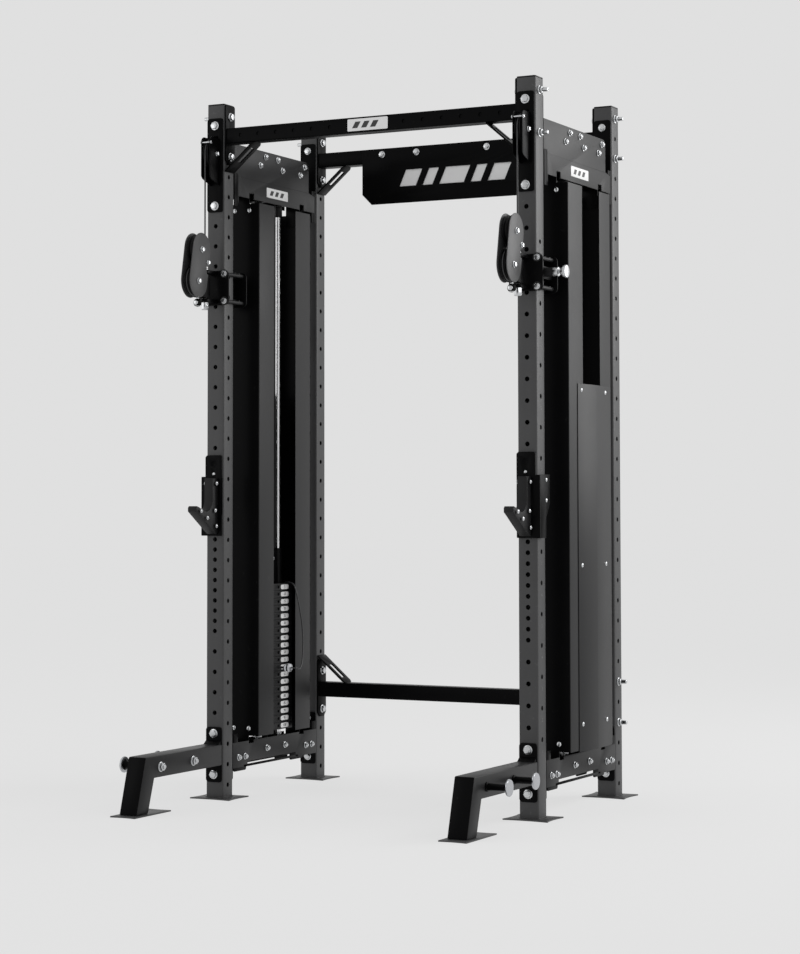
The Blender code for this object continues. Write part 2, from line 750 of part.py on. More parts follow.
def j_cup(side, hand):
    """A barbell cradle: a plate on the upright's front face, a cheek beside it and the hook."""
    front = -GAP
    adds = [
        box((X_IN, front - 0.0130, 1.090), (TC + 0.036, front, 1.321)),
        box((X_IN, front - 0.0128, 1.010), (X_OUT + 0.0165, front - 0.0002, 1.238)),
    ]
    cheek = [
        (-0.012, 1.010),
        (0.044, 1.010),
        (0.046, 1.083),
        (0.079, 1.1325),
        (0.079, 1.240),
        (-0.012, 1.238),
    ]
    adds.append(prism(cheek, "X", X_OUT + 0.0105, X_OUT + 0.0163))
    hook = [
        (-0.004, 1.012),
        (-0.030, 1.012),
        (-0.174, 1.100),
        (-0.174, 1.117),
        (-0.165, 1.126),
        (-0.150, 1.122),
        *arc((-0.096, 1.150), 0.046, 245, 360, 6),
        (-0.050, 1.232),
        (-0.004, 1.232),
    ]
    adds.append(prism(hook, "X", TC - 0.025, TC + 0.025))
    build(f"j_cup_{hand}", "black_paint", adds, (), side)


def foot(side, hand):
    """A tube running forward from the upright, a raked leg and a foot plate, with two band pegs."""
    low, high = FOOT_TUBE_Z
    outline = [(-0.004, low), (-0.491, low), (-0.533, 0.003), (-0.613, 0.003), (-0.551, high), (-0.004, high)]
    hollow = [
        (-0.020, low + WALL),
        (-0.493, low + WALL),
        (-0.538, -0.01),
        (-0.608, -0.01),
        (-0.548, high - WALL),
        (-0.020, high - WALL),
    ]
    adds = [
        prism(outline, "X", X_IN, X_OUT),
        box((TC - 0.035, -FLANGE - GAP, 0.064), (TC + 0.035, -GAP, 0.275)),
        box((TC - 0.0525, -0.650, 0), (TC + 0.0525, -0.400, 0.005)),
    ]
    for y in PEG_Y:
        end = X_OUT + PEG_LENGTH
        adds.append(rod("X", (y, PEG_Z), 0.0125, X_OUT - 0.002, end, 12))
        adds.append(rod("X", (y, PEG_Z), 0.030, end - 0.010, end - 0.002, 16))
    cavity = prism(hollow, "X", X_IN + WALL, X_OUT - WALL)
    build(f"foot_{hand}", "black_paint", adds, [cavity], side)


# ---------------------------------------------------------------- assembly


def make_tower(side, hand):
    tower_head(side, hand)
    tower_base(side, hand)
    shroud(side, hand, "shroud_front", SHROUD_Y[0], SLOT_INNER_Y[0], SLOT_OUTER_Y[0])
    shroud(side, hand, "shroud_rear", SHROUD_Y[1], SLOT_INNER_Y[1], SLOT_OUTER_Y[1])
    access_cover(side, hand)
    guide_rods(side, hand)
    stack(side, hand)
    selector_pin(side, hand)
    lanyard(side, hand)
    top_pulley_bracket(side, hand)
    pulleys(side, hand)
    cables(side, hand)
    trolley_carriage(side, hand)
    pop_pin(side, hand)
    pulley_housing(side, hand)
    ball_stop(side, hand)
    j_cup(side, hand)
    foot(side, hand)


clear_scene()
machine = bpy.data.objects.new("machine", None)
bpy.context.scene.collection.objects.link(machine)
machine.location = (0, -(FOOTPRINT_Y[0] + FOOTPRINT_Y[1]) / 2, 0)
make_frame()
for tower_side, tower_hand in ((1, "right"), (-1, "left")):
    make_tower(tower_side, tower_hand)
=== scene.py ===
"""The looks of the dual-tower cable crossover machine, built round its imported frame.

Shapes are drawn in rack coordinates, as in the part's source: x = 0 between the towers, y = 0 at the
front uprights' front faces, z = 0 at the floor. Each tower is drawn once, on the +X side.
"""

from math import atan2, cos, degrees, pi, radians, sin

import bpy
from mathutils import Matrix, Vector


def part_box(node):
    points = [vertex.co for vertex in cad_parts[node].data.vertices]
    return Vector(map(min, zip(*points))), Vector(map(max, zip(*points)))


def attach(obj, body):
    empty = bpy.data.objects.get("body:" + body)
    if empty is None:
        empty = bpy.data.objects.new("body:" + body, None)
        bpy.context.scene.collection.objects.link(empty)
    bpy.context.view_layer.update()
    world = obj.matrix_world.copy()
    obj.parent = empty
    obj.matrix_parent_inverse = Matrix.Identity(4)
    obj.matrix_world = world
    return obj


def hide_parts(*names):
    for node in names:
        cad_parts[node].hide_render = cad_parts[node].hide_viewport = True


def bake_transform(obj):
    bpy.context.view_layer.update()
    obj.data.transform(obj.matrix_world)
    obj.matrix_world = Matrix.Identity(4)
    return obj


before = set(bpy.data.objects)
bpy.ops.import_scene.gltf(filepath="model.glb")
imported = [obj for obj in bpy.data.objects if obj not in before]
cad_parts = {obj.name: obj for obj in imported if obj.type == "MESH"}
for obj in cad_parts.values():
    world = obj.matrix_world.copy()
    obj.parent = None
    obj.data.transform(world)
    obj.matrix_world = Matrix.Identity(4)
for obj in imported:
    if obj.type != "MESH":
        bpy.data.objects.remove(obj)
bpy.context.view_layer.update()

# Places read from the frame
SHROUD_LOW, SHROUD_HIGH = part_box("shroud_front_right")
SHIFT = SHROUD_LOW.y - 0.205  # rack y to frame y
TC = (SHROUD_LOW.x + SHROUD_HIGH.x) / 2
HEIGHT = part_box("upright_front_right")[1].z
STACK_LOW, STACK_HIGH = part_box("stack_resting_right")
STACK_Y = (STACK_LOW.y + STACK_HIGH.y) / 2 - SHIFT
STACK_BOTTOM = STACK_LOW.z

SECTION, WALL, CORNER = 0.075, 0.003, 0.006
X_IN, X_OUT = TC - SECTION / 2, TC + SECTION / 2
DEPTH = 0.758
BEAM = 0.060
PITCH, HOLE_R = 0.0785, 0.009
FACE_HOLES_Z, SIDE_HOLES_Z = 0.015, 0.052
SLIDE_HOLES_Z, SLIDE_PITCH = 0.398, 0.1125
PLATE_PITCH, PLATES, LIFTED = 0.0291, 20, 12
STACK_SPLIT = STACK_BOTTOM + (PLATES - LIFTED) * PLATE_PITCH
STACK_TOP = STACK_BOTTOM + PLATES * PLATE_PITCH
PIN_Z = STACK_SPLIT + PLATE_PITCH / 2
ROD_PLACES, ROD_R = (STACK_Y - 0.080, STACK_Y + 0.080), 0.0125
LINE_R, CABLE_R = 0.0555, 0.003
TOP_AXLE, HEAD_AXLE = (-0.025, 2.492), (STACK_Y - 0.055 - LINE_R, 2.486)
FLOATING_AXLE = (STACK_Y, 0.915)
CABLE_Y = TOP_AXLE[0] - LINE_R
UPPER_AXLE, LOWER_AXLE = (CABLE_Y - LINE_R, 2.109), (-0.160, 1.986)
POP_PIN = (SECTION / 2, 1.973)
BALL_Z = 1.9045
SIDES = ((1, "right"), (-1, "left"))
CROSS_FRONT, CROSS_REAR = 0.0754, 0.7576  # the ends of a tower's head and base
FIGURE_HEIGHT, WEIGHT_STEP = 0.017, 5
BACKGROUND = (0.745, 0.745, 0.745)
FLOOR_SHARE = 0.16


# ---------------------------------------------------------------- materials


def set_inputs(shader_node, **values):
    """Sets a node's inputs: From_Min stands for the input "From Min"."""
    for name, value in values.items():
        shader_node.inputs[name.replace("_", " ")].default_value = value
    return shader_node


def new_material(name):
    material = bpy.data.materials.new(name)
    material.use_nodes = True
    return material, material.node_tree, material.node_tree.nodes["Principled BSDF"]


def noise(tree, scale, detail):
    """Noise that stays with the object."""
    place = tree.nodes.new("ShaderNodeTexCoord")
    made = set_inputs(tree.nodes.new("ShaderNodeTexNoise"), Scale=scale, Detail=detail)
    tree.links.new(place.outputs["Object"], made.inputs["Vector"])
    return made.outputs["Fac"]


def mapped(tree, value, **limits):
    """A value carried from one range to another."""
    made = set_inputs(tree.nodes.new("ShaderNodeMapRange"), **limits)
    tree.links.new(value, made.inputs["Value"])
    return made.outputs["Result"]


def tinted(colour, share, lift=0.0):
    return (*[min(1, c * share + lift) for c in colour], 1)


def surface(name, colour, roughness, metallic=0.0, grain=700.0, bump=0.06, vary=0.12, shine=0.5, scuffs=0.0):
    """A finish with fine relief, and soft changes in colour and gloss; scuffs lighten small spots."""
    material, tree, shader = new_material(name)
    set_inputs(shader, Metallic=metallic, Specular_IOR_Level=shine)
    broad = noise(tree, 5.0, 6.0)
    tones = tree.nodes.new("ShaderNodeValToRGB")
    for stop, position, share in zip(tones.color_ramp.elements, (0.3, 0.7), (1 - vary, 1 + vary)):
        stop.position = position
        stop.color = tinted(colour, share)
    tree.links.new(broad, tones.inputs["Fac"])
    finish = tones.outputs["Color"]
    if scuffs:
        spots = mapped(tree, noise(tree, 60.0, 8.0), From_Min=0.66, From_Max=0.75, To_Max=scuffs)
        mix = set_inputs(tree.nodes.new("ShaderNodeMixRGB"), Color2=tinted(colour, 2.5, 0.02))
        tree.links.new(spots, mix.inputs["Fac"])
        tree.links.new(finish, mix.inputs["Color1"])
        finish = mix.outputs["Color"]
    tree.links.new(finish, shader.inputs["Base Color"])
    gloss = mapped(tree, broad, To_Min=max(0.03, roughness * 0.85), To_Max=roughness * 1.15)
    tree.links.new(gloss, shader.inputs["Roughness"])
    if bump:
        relief = set_inputs(tree.nodes.new("ShaderNodeBump"), Strength=bump, Distance=0.0004)
        tree.links.new(noise(tree, grain, 3.0), relief.inputs["Height"])
        tree.links.new(relief.outputs["Normal"], shader.inputs["Normal"])
    return material


GREY_PAINT = surface("powder_coat_graphite", (0.042, 0.042, 0.043), 0.46, bump=0.10, shine=0.40, scuffs=0.25)
BLACK_PAINT = surface("powder_coat_black", (0.0020, 0.0020, 0.0022), 0.34, bump=0.05, shine=0.045, scuffs=0.2)
# A darker copy of the graphite powder coat, for faces that should look darker: painted shade.
PAINTED_SHADE_GRAPHITE = surface("powder_coat_graphite_painted_shade", (0.013, 0.013, 0.0135), 0.42, bump=0.08, shine=0.20, scuffs=0.2)
STACK_PAINT = surface("plate_paint", (0.008, 0.008, 0.0085), 0.45, grain=500, bump=0.12, shine=0.15, scuffs=0.3)
ZINC = surface("bright_zinc", (0.58, 0.59, 0.60), 0.24, 1.0, bump=0.04, grain=900, vary=0.10)
CHROME = surface("chrome_rod", (0.80, 0.80, 0.81), 0.20, 1.0, bump=0.0, vary=0.02)
NYLON = surface("moulded_nylon", (0.004, 0.004, 0.0042), 0.36, bump=0.03, grain=400, shine=0.12)
PLASTIC = surface("moulded_plastic", (0.005, 0.005, 0.0055), 0.45, bump=0.06, grain=600, shine=0.2)
RUBBER = surface("rubber", (0.004, 0.004, 0.004), 0.7, bump=0.08, grain=500, shine=0.1)
CABLE = surface("coated_cable", (0.012, 0.012, 0.013), 0.32, bump=0.05, grain=900)
LINER = surface("liner_plastic", (0.010, 0.010, 0.0105), 0.55, bump=0.05, grain=300, shine=0.2)
WHITE = surface("white_print", (0.72, 0.72, 0.72), 0.45, bump=0.02, vary=0.03)
INK = surface("dark_print", (0.02, 0.02, 0.02), 0.5, bump=0.0, vary=0.05)
PALE = surface("etched_mark", (0.16, 0.16, 0.16), 0.5, bump=0.0, vary=0.05)
CLEAR_DISC = surface("polished_disc", (0.50, 0.51, 0.53), 0.25, 1.0, bump=0.02, vary=0.08)


# ---------------------------------------------------------------- shapes


def spot(axis, along, pair):
    if axis == "X":
        return (along, pair[0], pair[1])
    if axis == "Y":
        return (pair[0], along, pair[1])
    return (pair[0], pair[1], along)


def arc(centre, radius, first, last, steps):
    angles = [radians(first + (last - first) * i / steps) for i in range(steps + 1)]
    return [(centre[0] + radius * cos(a), centre[1] + radius * sin(a)) for a in angles]


def flipped(faces):
    return [tuple(reversed(face)) for face in faces]


def facing_out(points, faces):
    """The shape, its faces turned round if they point inward."""
    base = Vector(points[0])
    total = 0.0
    for face in faces:
        first = Vector(points[face[0]]) - base
        for second, third in zip(face[1:], face[2:]):
            total += first.dot((Vector(points[second]) - base).cross(Vector(points[third]) - base))
    return points, faces if total >= 0 else flipped(faces)


def skinned(points, segments, loop=False):
    """Joins rings of points, one after another: into a closed loop, or with a flat face at each end."""
    rows = len(points) // segments
    faces = []
    for row in range(rows if loop else rows - 1):
        first, second = row * segments, (row + 1) % rows * segments
        for i in range(segments):
            j = (i + 1) % segments
            faces.append((first + i, first + j, second + j, second + i))
    if not loop:
        faces.append(tuple(reversed(range(segments))))
        faces.append(tuple(range((rows - 1) * segments, rows * segments)))
    return facing_out(points, faces)


def prism(outline, axis, low, high):
    points = [spot(axis, place, pair) for place in (low, high) for pair in outline]
    return skinned(points, len(outline))


def rectangle(low, high, radius=0.0, steps=3):
    if not radius:
        return [low, (high[0], low[1]), high, (low[0], high[1])]
    centres = (
        ((high[0] - radius, high[1] - radius), 0),
        ((low[0] + radius, high[1] - radius), 90),
        ((low[0] + radius, low[1] + radius), 180),
        ((high[0] - radius, low[1] + radius), 270),
    )
    return [pair for centre, start in centres for pair in arc(centre, radius, start, start + 90, steps)]


def box(low, high):
    return prism(rectangle((low[1], low[2]), (high[1], high[2])), "X", low[0], high[0])


def turned(profile, axis, centre, segments=24, loop=False):
    """Turns (radius, place along the axis) pairs: a loop makes a ring, otherwise the ends are flat."""
    points = []
    for radius, along in profile:
        ring = arc(centre, radius, 0, 360 - 360 / segments, segments - 1)
        points += [spot(axis, along, pair) for pair in ring]
    return skinned(points, segments, loop)


def disc(axis, centre, radius, low, high, segments=24):
    return turned([(radius, low), (radius, high)], axis, centre, segments)


def hexagon(axis, centre, radius, base, height):
    """A hexagon head from base outward; a negative height points it the other way."""
    ends = [(radius, base), (radius, base + 0.82 * height), (radius * 0.86, base + height)]
    return turned(ends, axis, centre, 6)


def bowed_plate(low, high, dips, steps):
    """A rectangle's outline with its edges bowed inward: dips are for the bottom, right, top and left."""
    corners = [low, (high[0], low[1]), high, (low[0], high[1])]
    inward = ((0, 1), (-1, 0), (0, -1), (1, 0))
    outline = []
    for start, end, way, dip in zip(corners, corners[1:] + corners[:1], inward, dips):
        count = steps if dip else 1
        for i in range(count):
            share = i / count
            bow = 4 * dip * share * (1 - share)
            outline.append(tuple(a + (b - a) * share + w * bow for a, b, w in zip(start, end, way)))
    return outline


def slanted(x, width, lean, low, high):
    """A bar that leans sideways from its foot to its top."""
    return [(x, low), (x + width, low), (x + width + lean, high), (x + lean, high)]


def cheek_pair(outline, inner, outer):
    """A plate on each side of the tower's centre plane."""
    return [prism(outline, "X", TC + way * inner, TC + way * outer) for way in (-1, 1)]


def bolt(axis, centre, base, way, size=1.0, stub=0.0):
    """Washer, chamfered hexagon head, and a threaded end where it is a nut. way is +1 or -1."""
    washer = [(0.0165, 0.0), (0.0165, 0.0022), (0.0150, 0.003)]
    profile = [(radius * size, base + way * lift * size) for radius, lift in washer]
    head = hexagon(axis, centre, 0.0138 * size, base + way * 0.003 * size, way * 0.0095 * size)
    shapes = [turned(profile, axis, centre, 28), head]
    if stub:
        top = base + way * (0.0125 * size + stub)
        thread = [(0.0078 * size, base), (0.0078 * size, top - way * 0.002), (0.006 * size, top)]
        shapes.append(turned(thread, axis, centre, 16))
    return shapes


def button(axis, centre, base, way, size=1.0):
    """A domed socket screw."""
    r = 0.0095 * size
    profile = [(r, base), (r, base + way * 0.0012), (r * 0.85, base + way * 0.0034 * size),
               (r * 0.5, base + way * 0.0048 * size), (r * 0.34, base + way * 0.005 * size),
               (r * 0.30, base + way * 0.0022 * size)]
    return [turned(profile, axis, centre, 20)]


def text_shape(words, height, thickness=0.0004):
    """Figures as a mesh in the x, y plane, centred, as points and faces."""
    curve = bpy.data.curves.new("figures", "FONT")
    curve.body = words
    curve.size = height
    curve.extrude = thickness
    curve.resolution_u = 2
    curve.align_x = "CENTER"
    curve.align_y = "CENTER"
    obj = bpy.data.objects.new("figures", curve)
    bpy.context.scene.collection.objects.link(obj)
    mesh = obj.evaluated_get(bpy.context.evaluated_depsgraph_get()).to_mesh()
    points = [tuple(v.co) for v in mesh.vertices]
    faces = [tuple(p.vertices) for p in mesh.polygons]
    bpy.data.objects.remove(obj)
    bpy.data.curves.remove(curve)
    return points, faces


def joined(shapes):
    points, faces = [], []
    for more_points, more_faces in shapes:
        start = len(points)
        points += more_points
        faces += [tuple(start + i for i in face) for face in more_faces]
    return points, faces


def axle_bolts(centre, offset, size, stub=0.0):
    """A bolt head at each end of an axle across the tower."""
    return [shape for way in (-1, 1) for shape in bolt("X", centre, TC + way * offset, way, size, stub)]


def figures(words, thickness, way, side, place):
    """Figures on a face across X that read the right way in either tower. way is +1 where it faces +X."""
    x, y, z = place
    points, faces = text_shape(words, FIGURE_HEIGHT, thickness)
    placed = [(x + way * c, y + way * side * a, z + b) for a, b, c in points]
    return placed, faces if side > 0 else flipped(faces)


def mesh_object(name, shapes, side):
    points, faces = joined(shapes)
    mesh = bpy.data.meshes.new(name)
    placed = [(side * x, y + SHIFT, z) for x, y, z in points]
    mesh.from_pydata(placed, [], faces if side > 0 else flipped(faces))
    mesh.update()
    obj = bpy.data.objects.new(name, mesh)
    bpy.context.scene.collection.objects.link(obj)
    return obj


def apply_modifiers(obj):
    mesh = bpy.data.meshes.new_from_object(obj.evaluated_get(bpy.context.evaluated_depsgraph_get()))
    obj.modifiers.clear()
    obj.data = mesh


def cut_away(obj, shapes, side):
    """Cuts shapes, which don't overlap one another, out of a piece."""
    helper = mesh_object(obj.name + "_cut", shapes, side)
    cut = obj.modifiers.new("cut", "BOOLEAN")
    cut.operation = "DIFFERENCE"
    cut.object = helper
    bpy.context.view_layer.update()
    apply_modifiers(obj)
    bpy.data.objects.remove(helper)


def dress(obj, material, smooth_up_to):
    obj.data.materials.clear()
    obj.data.materials.append(material)
    obj.data.shade_smooth()
    obj.data.set_sharp_from_angle(angle=radians(smooth_up_to))


def make(name, shapes, material, body, side=1, replaces=(), bevel=0.0008, cuts=()):
    """One piece: the shapes less each group of cuts, its edges eased, riding on a body."""
    obj = mesh_object(name, shapes, side)
    for group in cuts:
        if group:
            cut_away(obj, group, side)
    if bevel:
        ease = obj.modifiers.new("ease", "BEVEL")
        ease.width = bevel
        ease.segments = 2
        ease.limit_method = "ANGLE"
        ease.angle_limit = radians(38)
        bpy.context.view_layer.update()
        apply_modifiers(obj)
    dress(obj, material, 35)
    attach(obj, body)
    if replaces:
        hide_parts(*replaces)
    return obj


def shade_faces(obj, material, chosen):
    """Gives the faces that chosen picks, by normal and centre, another, darker finish: painted shade on faces
    picked by their direction.
    """
    obj.data.materials.append(material)
    for polygon in obj.data.polygons:
        if chosen(polygon.normal, polygon.center):
            polygon.material_index = 1


# ---------------------------------------------------------------- camera, light, floor


def make_camera():
    yaw, pitch, focal_px = 0.4931, 0.0503, 2377.94
    long_side, sensor = 954, 36.0
    camera = bpy.data.cameras.new("camera")
    camera.sensor_width = sensor
    camera.lens = focal_px * sensor / long_side
    camera.shift_x, camera.shift_y = 0.0850, -0.0968
    camera.clip_end = 60
    obj = bpy.data.objects.new("camera", camera)
    obj.location = (4.062, -7.9303 + SHIFT, 1.1313)
    forward = Vector((-sin(yaw) * cos(pitch), cos(yaw) * cos(pitch), sin(pitch)))
    obj.rotation_euler = forward.to_track_quat("-Z", "Y").to_euler()
    bpy.context.scene.collection.objects.link(obj)
    bpy.context.scene.camera = obj


def area_light(name, place, target, size, power):
    light = bpy.data.lights.new(name, "AREA")
    light.shape = "RECTANGLE"
    light.size, light.size_y = size
    light.energy = power
    obj = bpy.data.objects.new(name, light)
    obj.location = place
    obj.rotation_euler = (Vector(target) - Vector(place)).to_track_quat("-Z", "Y").to_euler()
    bpy.context.scene.collection.objects.link(obj)


def pale_floor():
    """A matt floor that glows by as much as it soaks up, so it has no edge against the background."""
    material, tree, shader = new_material("pale_floor")
    set_inputs(shader, Roughness=1.0, Specular_IOR_Level=0.0)
    set_inputs(shader, Emission_Color=(*BACKGROUND, 1), Emission_Strength=1 - FLOOR_SHARE)
    cloud = mapped(tree, noise(tree, 1.5, 2.0), To_Min=FLOOR_SHARE * 0.98, To_Max=FLOOR_SHARE)
    tree.links.new(cloud, shader.inputs["Base Color"])
    return material


def make_studio():
    world = bpy.data.worlds.new("studio")
    world.use_nodes = True
    world.node_tree.nodes["Background"].inputs["Color"].default_value = (*BACKGROUND, 1)
    world.node_tree.nodes["Background"].inputs["Strength"].default_value = 1.0
    bpy.context.scene.world = world
    bpy.context.scene.view_settings.view_transform = "Standard"
    floor_mesh = bpy.data.meshes.new("floor")
    reach, level = 60.0, -0.0005
    corners = [(x, y, level) for x, y in rectangle((-reach, -reach), (reach, reach))]
    floor_mesh.from_pydata(corners, [], [(0, 1, 2, 3)])
    floor = bpy.data.objects.new("floor", floor_mesh)
    bpy.context.scene.collection.objects.link(floor)
    floor_mesh.materials.append(pale_floor())
    area_light("back_right", (4.3, 4.0, 3.3), (0.7, 0.0, 2.0), (2.8, 3.4), 145)
    area_light("right", (3.6, 0.2, 3.4), (0.7, 0.2, 2.0), (1.2, 2.4), 22)
    area_light("front_left", (-4.0, -4.5, 2.6), (-0.6, 0.0, 1.4), (2.5, 3.0), 26)


# ---------------------------------------------------------------- uprights and beams


def wall_cutters(axis, across, wall, heights, radius=HOLE_R):
    """Short round cutters through one wall. across is the hole's place along the wall."""
    return [disc(axis, (across, z), radius, wall - 0.006, wall + 0.006, 20) for z in heights]


def grid(first, low, high, pitch=PITCH):
    count = int((high - first) / pitch) + 1
    return [first + i * pitch for i in range(count) if first + i * pitch > low]


SLIDE_HEIGHTS = grid(SLIDE_HOLES_Z - SLIDE_PITCH, 0.2, 2.1, SLIDE_PITCH)


def face_heights():
    """The front and back faces' holes, with half the pitch round bench height."""
    heights = grid(FACE_HOLES_Z, 0.05, 2.62)
    between = [z + PITCH / 2 for z in heights if 0.64 < z < 1.30]
    return sorted(heights + between)


def fittings(name, shapes, body="frame", side=1, bevel=0.0003):
    """A piece of plated bolts, screws, pins or the like."""
    return make(name, shapes, ZINC, body, side, bevel=bevel)


def make_uprights():
    for side, hand in SIDES:
        for row, front_y in (("front", 0.0), ("rear", DEPTH)):
            make_upright(f"upright_{row}_{hand}", row == "front", front_y, side)


def make_upright(name, in_front, front_y, side):
    """A drilled square tube with a cap, a floor plate and the weld round its foot."""
    back_y, middle = front_y + SECTION, front_y + SECTION / 2
    section = rectangle((X_IN, front_y), (X_OUT, back_y), CORNER)
    hollow = rectangle((X_IN + WALL, front_y + WALL), (X_OUT - WALL, back_y - WALL), CORNER - WALL)
    outer = prism(section, "Z", 0.005, HEIGHT - 0.006)
    inner = prism(hollow, "Z", 0.004, HEIGHT - 0.004)
    heights = [z for z in face_heights() if z < 2.41 or z > 2.59]
    holes = wall_cutters("Y", TC, front_y, heights) + wall_cutters("Y", TC, back_y, heights)
    holes += wall_cutters("X", middle, X_IN, grid(SIDE_HOLES_Z, 0.04, 2.66))
    if in_front:
        holes += wall_cutters("X", middle, X_OUT, SLIDE_HEIGHTS)
        holes.append(box((TC - 0.010, 0.060, 2.520), (TC + 0.010, 0.09, 2.575)))
        holes.append(box((TC - 0.0138, -0.01, 2.425), (TC + 0.0138, 0.010, 2.565)))
    else:
        holes += wall_cutters("X", middle, X_OUT, grid(SIDE_HOLES_Z, 0.04, 2.66))
    make(f"{name}_tube", [outer], GREY_PAINT, "frame", side, [name], 0, [[inner], holes])
    cap = prism(section, "Z", HEIGHT - 0.0058, HEIGHT)
    make(f"{name}_cap", [cap], PLASTIC, "frame", side, bevel=0.0018)
    foot = bowed_plate((TC - 0.0875, middle - 0.075), (TC + 0.0875, middle + 0.075), [0.008] * 4, 12)
    make(f"{name}_base", [prism(foot, "Z", 0.0, 0.005)], GREY_PAINT, "frame", side)
    bead = rectangle((X_IN - 0.003, front_y - 0.003), (X_OUT + 0.003, back_y + 0.003), 0.006)
    make(f"{name}_weld", [prism(bead, "Z", 0.0045, 0.0075)], GREY_PAINT, "frame", side, bevel=0.0012)


def slide_numbers(side, hand):
    """A small number under each locking-pin hole on the outer face."""
    shapes = [figures(str(count), 0.0004, 1, side, (X_OUT + 0.0002, SECTION / 2, z - 0.043))
              for count, z in enumerate(SLIDE_HEIGHTS, 1)]
    make(f"slide_numbers_{hand}", shapes, PALE, "frame", side, bevel=0)


def strap_shape(sign, y, beam_z, post_z):
    """A broad flat brace and the cutter for its long hole: a rounded top end, a square bottom end."""
    half, slot_half, thick = 0.034, 0.013, 0.006
    start = Vector((X_IN - 0.004, post_z))
    end = Vector((X_IN - 0.132, beam_z))
    up = 1 if beam_z > post_z else -1
    along = (end - start).normalized()
    out = Vector((-along.y, along.x)) * (-up * thick)
    rim = [(0.0, -half), (0.92, -half), (0.98, -half * 0.75), (1.0, -half * 0.4)]
    outline = rim + [(share, -across) for share, across in reversed(rim)]
    hole = [(0.33, -slot_half), (0.80, -slot_half), (0.80, slot_half), (0.33, slot_half)]
    shapes = []
    for loop, lifts in ((outline, (0.0, 1.0)), (hole, (-1.0, 2.0))):
        points = []
        for lift in lifts:
            for share, across in loop:
                point = start.lerp(end, share) + out * lift
                points.append((sign * point.x, y + across, point.y))
        shapes.append(skinned(points, len(loop)))
    return shapes


def make_beam(name, front_y, top_z, bolts_z, strap_ends, holes):
    """A tube between the towers, with an end flange, bolts and a brace at each upright."""
    inset = (SECTION - BEAM) / 2
    low_y, high_y, middle = front_y + inset, front_y + SECTION - inset, front_y + SECTION / 2
    reach = X_IN - 0.0065
    tube = prism(rectangle((low_y, top_z - BEAM), (high_y, top_z), 0.005), "X", -reach, reach)
    cuts = []
    if holes:
        for low, high in ((low_y - 0.01, low_y + 0.004), (high_y - 0.004, high_y + 0.01)):
            cuts += [disc("Y", (i * PITCH, top_z - BEAM / 2), 0.008, low, high, 20) for i in range(-7, 8)]
    make(f"{name}_tube", [tube], BLACK_PAINT, "frame", 1, [name], 0, [cuts])
    low, high = min(bolts_z) - 0.031, max(bolts_z) + 0.046
    flange = [(middle - 0.035, low + 0.018), (middle - 0.017, low)]
    flange += [(middle + 0.017, low), (middle + 0.035, low + 0.018)]
    flange += arc((middle + 0.025, high - 0.010), 0.010, 0, 90, 4)
    flange += arc((middle - 0.025, high - 0.010), 0.010, 90, 180, 4)
    flanges, fixings, braces, brace_holes = [], [], [], []
    for sign in (-1, 1):
        flanges.append(prism(flange, "X", sign * (X_IN - 0.0004), sign * (X_IN - 0.0064)))
        for z in bolts_z:
            fixings += bolt("X", (middle, z), sign * (X_IN - 0.0064), -sign)
            fixings += bolt("X", (middle, z), sign * X_OUT, sign, stub=0.022)
        brace, hole = strap_shape(sign, middle, *strap_ends)
        braces.append(brace)
        brace_holes.append(hole)
    make(f"{name}_flanges", flanges, BLACK_PAINT, "frame", bevel=0.0006)
    make(f"{name}_braces", braces, BLACK_PAINT, "frame", cuts=[brace_holes])
    fittings(f"{name}_bolts", fixings, bevel=0.0004)


def make_beams():
    top, low, brace_drop = 2.595, 0.399, 0.110
    under = top - BEAM
    for name, front_y in (("top_beam_front", 0.0), ("top_beam_rear", DEPTH)):
        make_beam(name, front_y, top, (2.4855, 2.6425), (under, under - brace_drop), front_y == 0.0)
    make_beam("lower_beam_rear", DEPTH, low, (0.2875, 0.4445), (low, low + brace_drop), False)
    label = prism(rectangle((-0.080, 2.542), (0.090, 2.588), 0.004), "Y", 0.0060, 0.0074)
    make("beam_label", [label], WHITE, "frame", bevel=0.0002)
    bars = [prism(slanted(x, 0.022, 0.014, 2.553, 2.577), "Y", 0.0054, 0.0062) for x in (-0.060, -0.022, 0.016)]
    make("beam_label_marks", bars, INK, "frame", bevel=0)


def make_sign():
    """The header plate, with a cut pattern of plain slanted bars."""
    half, corner, low, high = 0.405, 0.043, 2.364, 2.593
    front = DEPTH + 0.0075 - 0.0044
    outline = [(-half, low + corner), (-half + corner, low), (half - corner, low), (half, low + corner)]
    outline += [(half, high), (-half, high)]
    bars = []
    for x, width in ((-0.235, 0.075), (-0.130, 0.045), (-0.055, 0.110), (0.085, 0.045), (0.160, 0.075)):
        bars.append(prism(slanted(x, width, 0.030, 2.432, 2.500), "Y", front - 0.01, front + 0.01))
    plate = prism(outline, "Y", front, front + 0.004)
    make("sign_plate_panel", [plate], BLACK_PAINT, "frame", 1, ["sign_plate"], 0.0006, [bars])
    backing = prism(rectangle((-0.27, 2.420), (0.30, 2.512)), "Y", front + 0.0042, front + 0.0062)
    make("sign_backing", [backing], WHITE, "frame", bevel=0)
    fixings = []
    for x in (-0.314, -0.157, 0.157, 0.314):
        fixings += bolt("Y", (x, 2.569), front, -1, 0.85)
    fittings("sign_bolts", fixings, bevel=0.0004)


# ---------------------------------------------------------------- towers


def plate_with_bolts(name, low_z, high_z, bolts_z, side, cuts=()):
    """A rounded plate on an upright's front face, with its bolts."""
    back, front = -0.0004, -0.0064
    shape = prism(rectangle((TC - 0.035, low_z), (TC + 0.035, high_z), 0.012, 4), "Y", front, back)
    make(name, [shape], BLACK_PAINT, "frame", side, cuts=[cuts])
    fixings = []
    for z in bolts_z:
        fixings += bolt("Y", (TC, z), front, -1, 1.05)
    fittings(f"{name}_bolts", fixings, "frame", side, 0.0004)


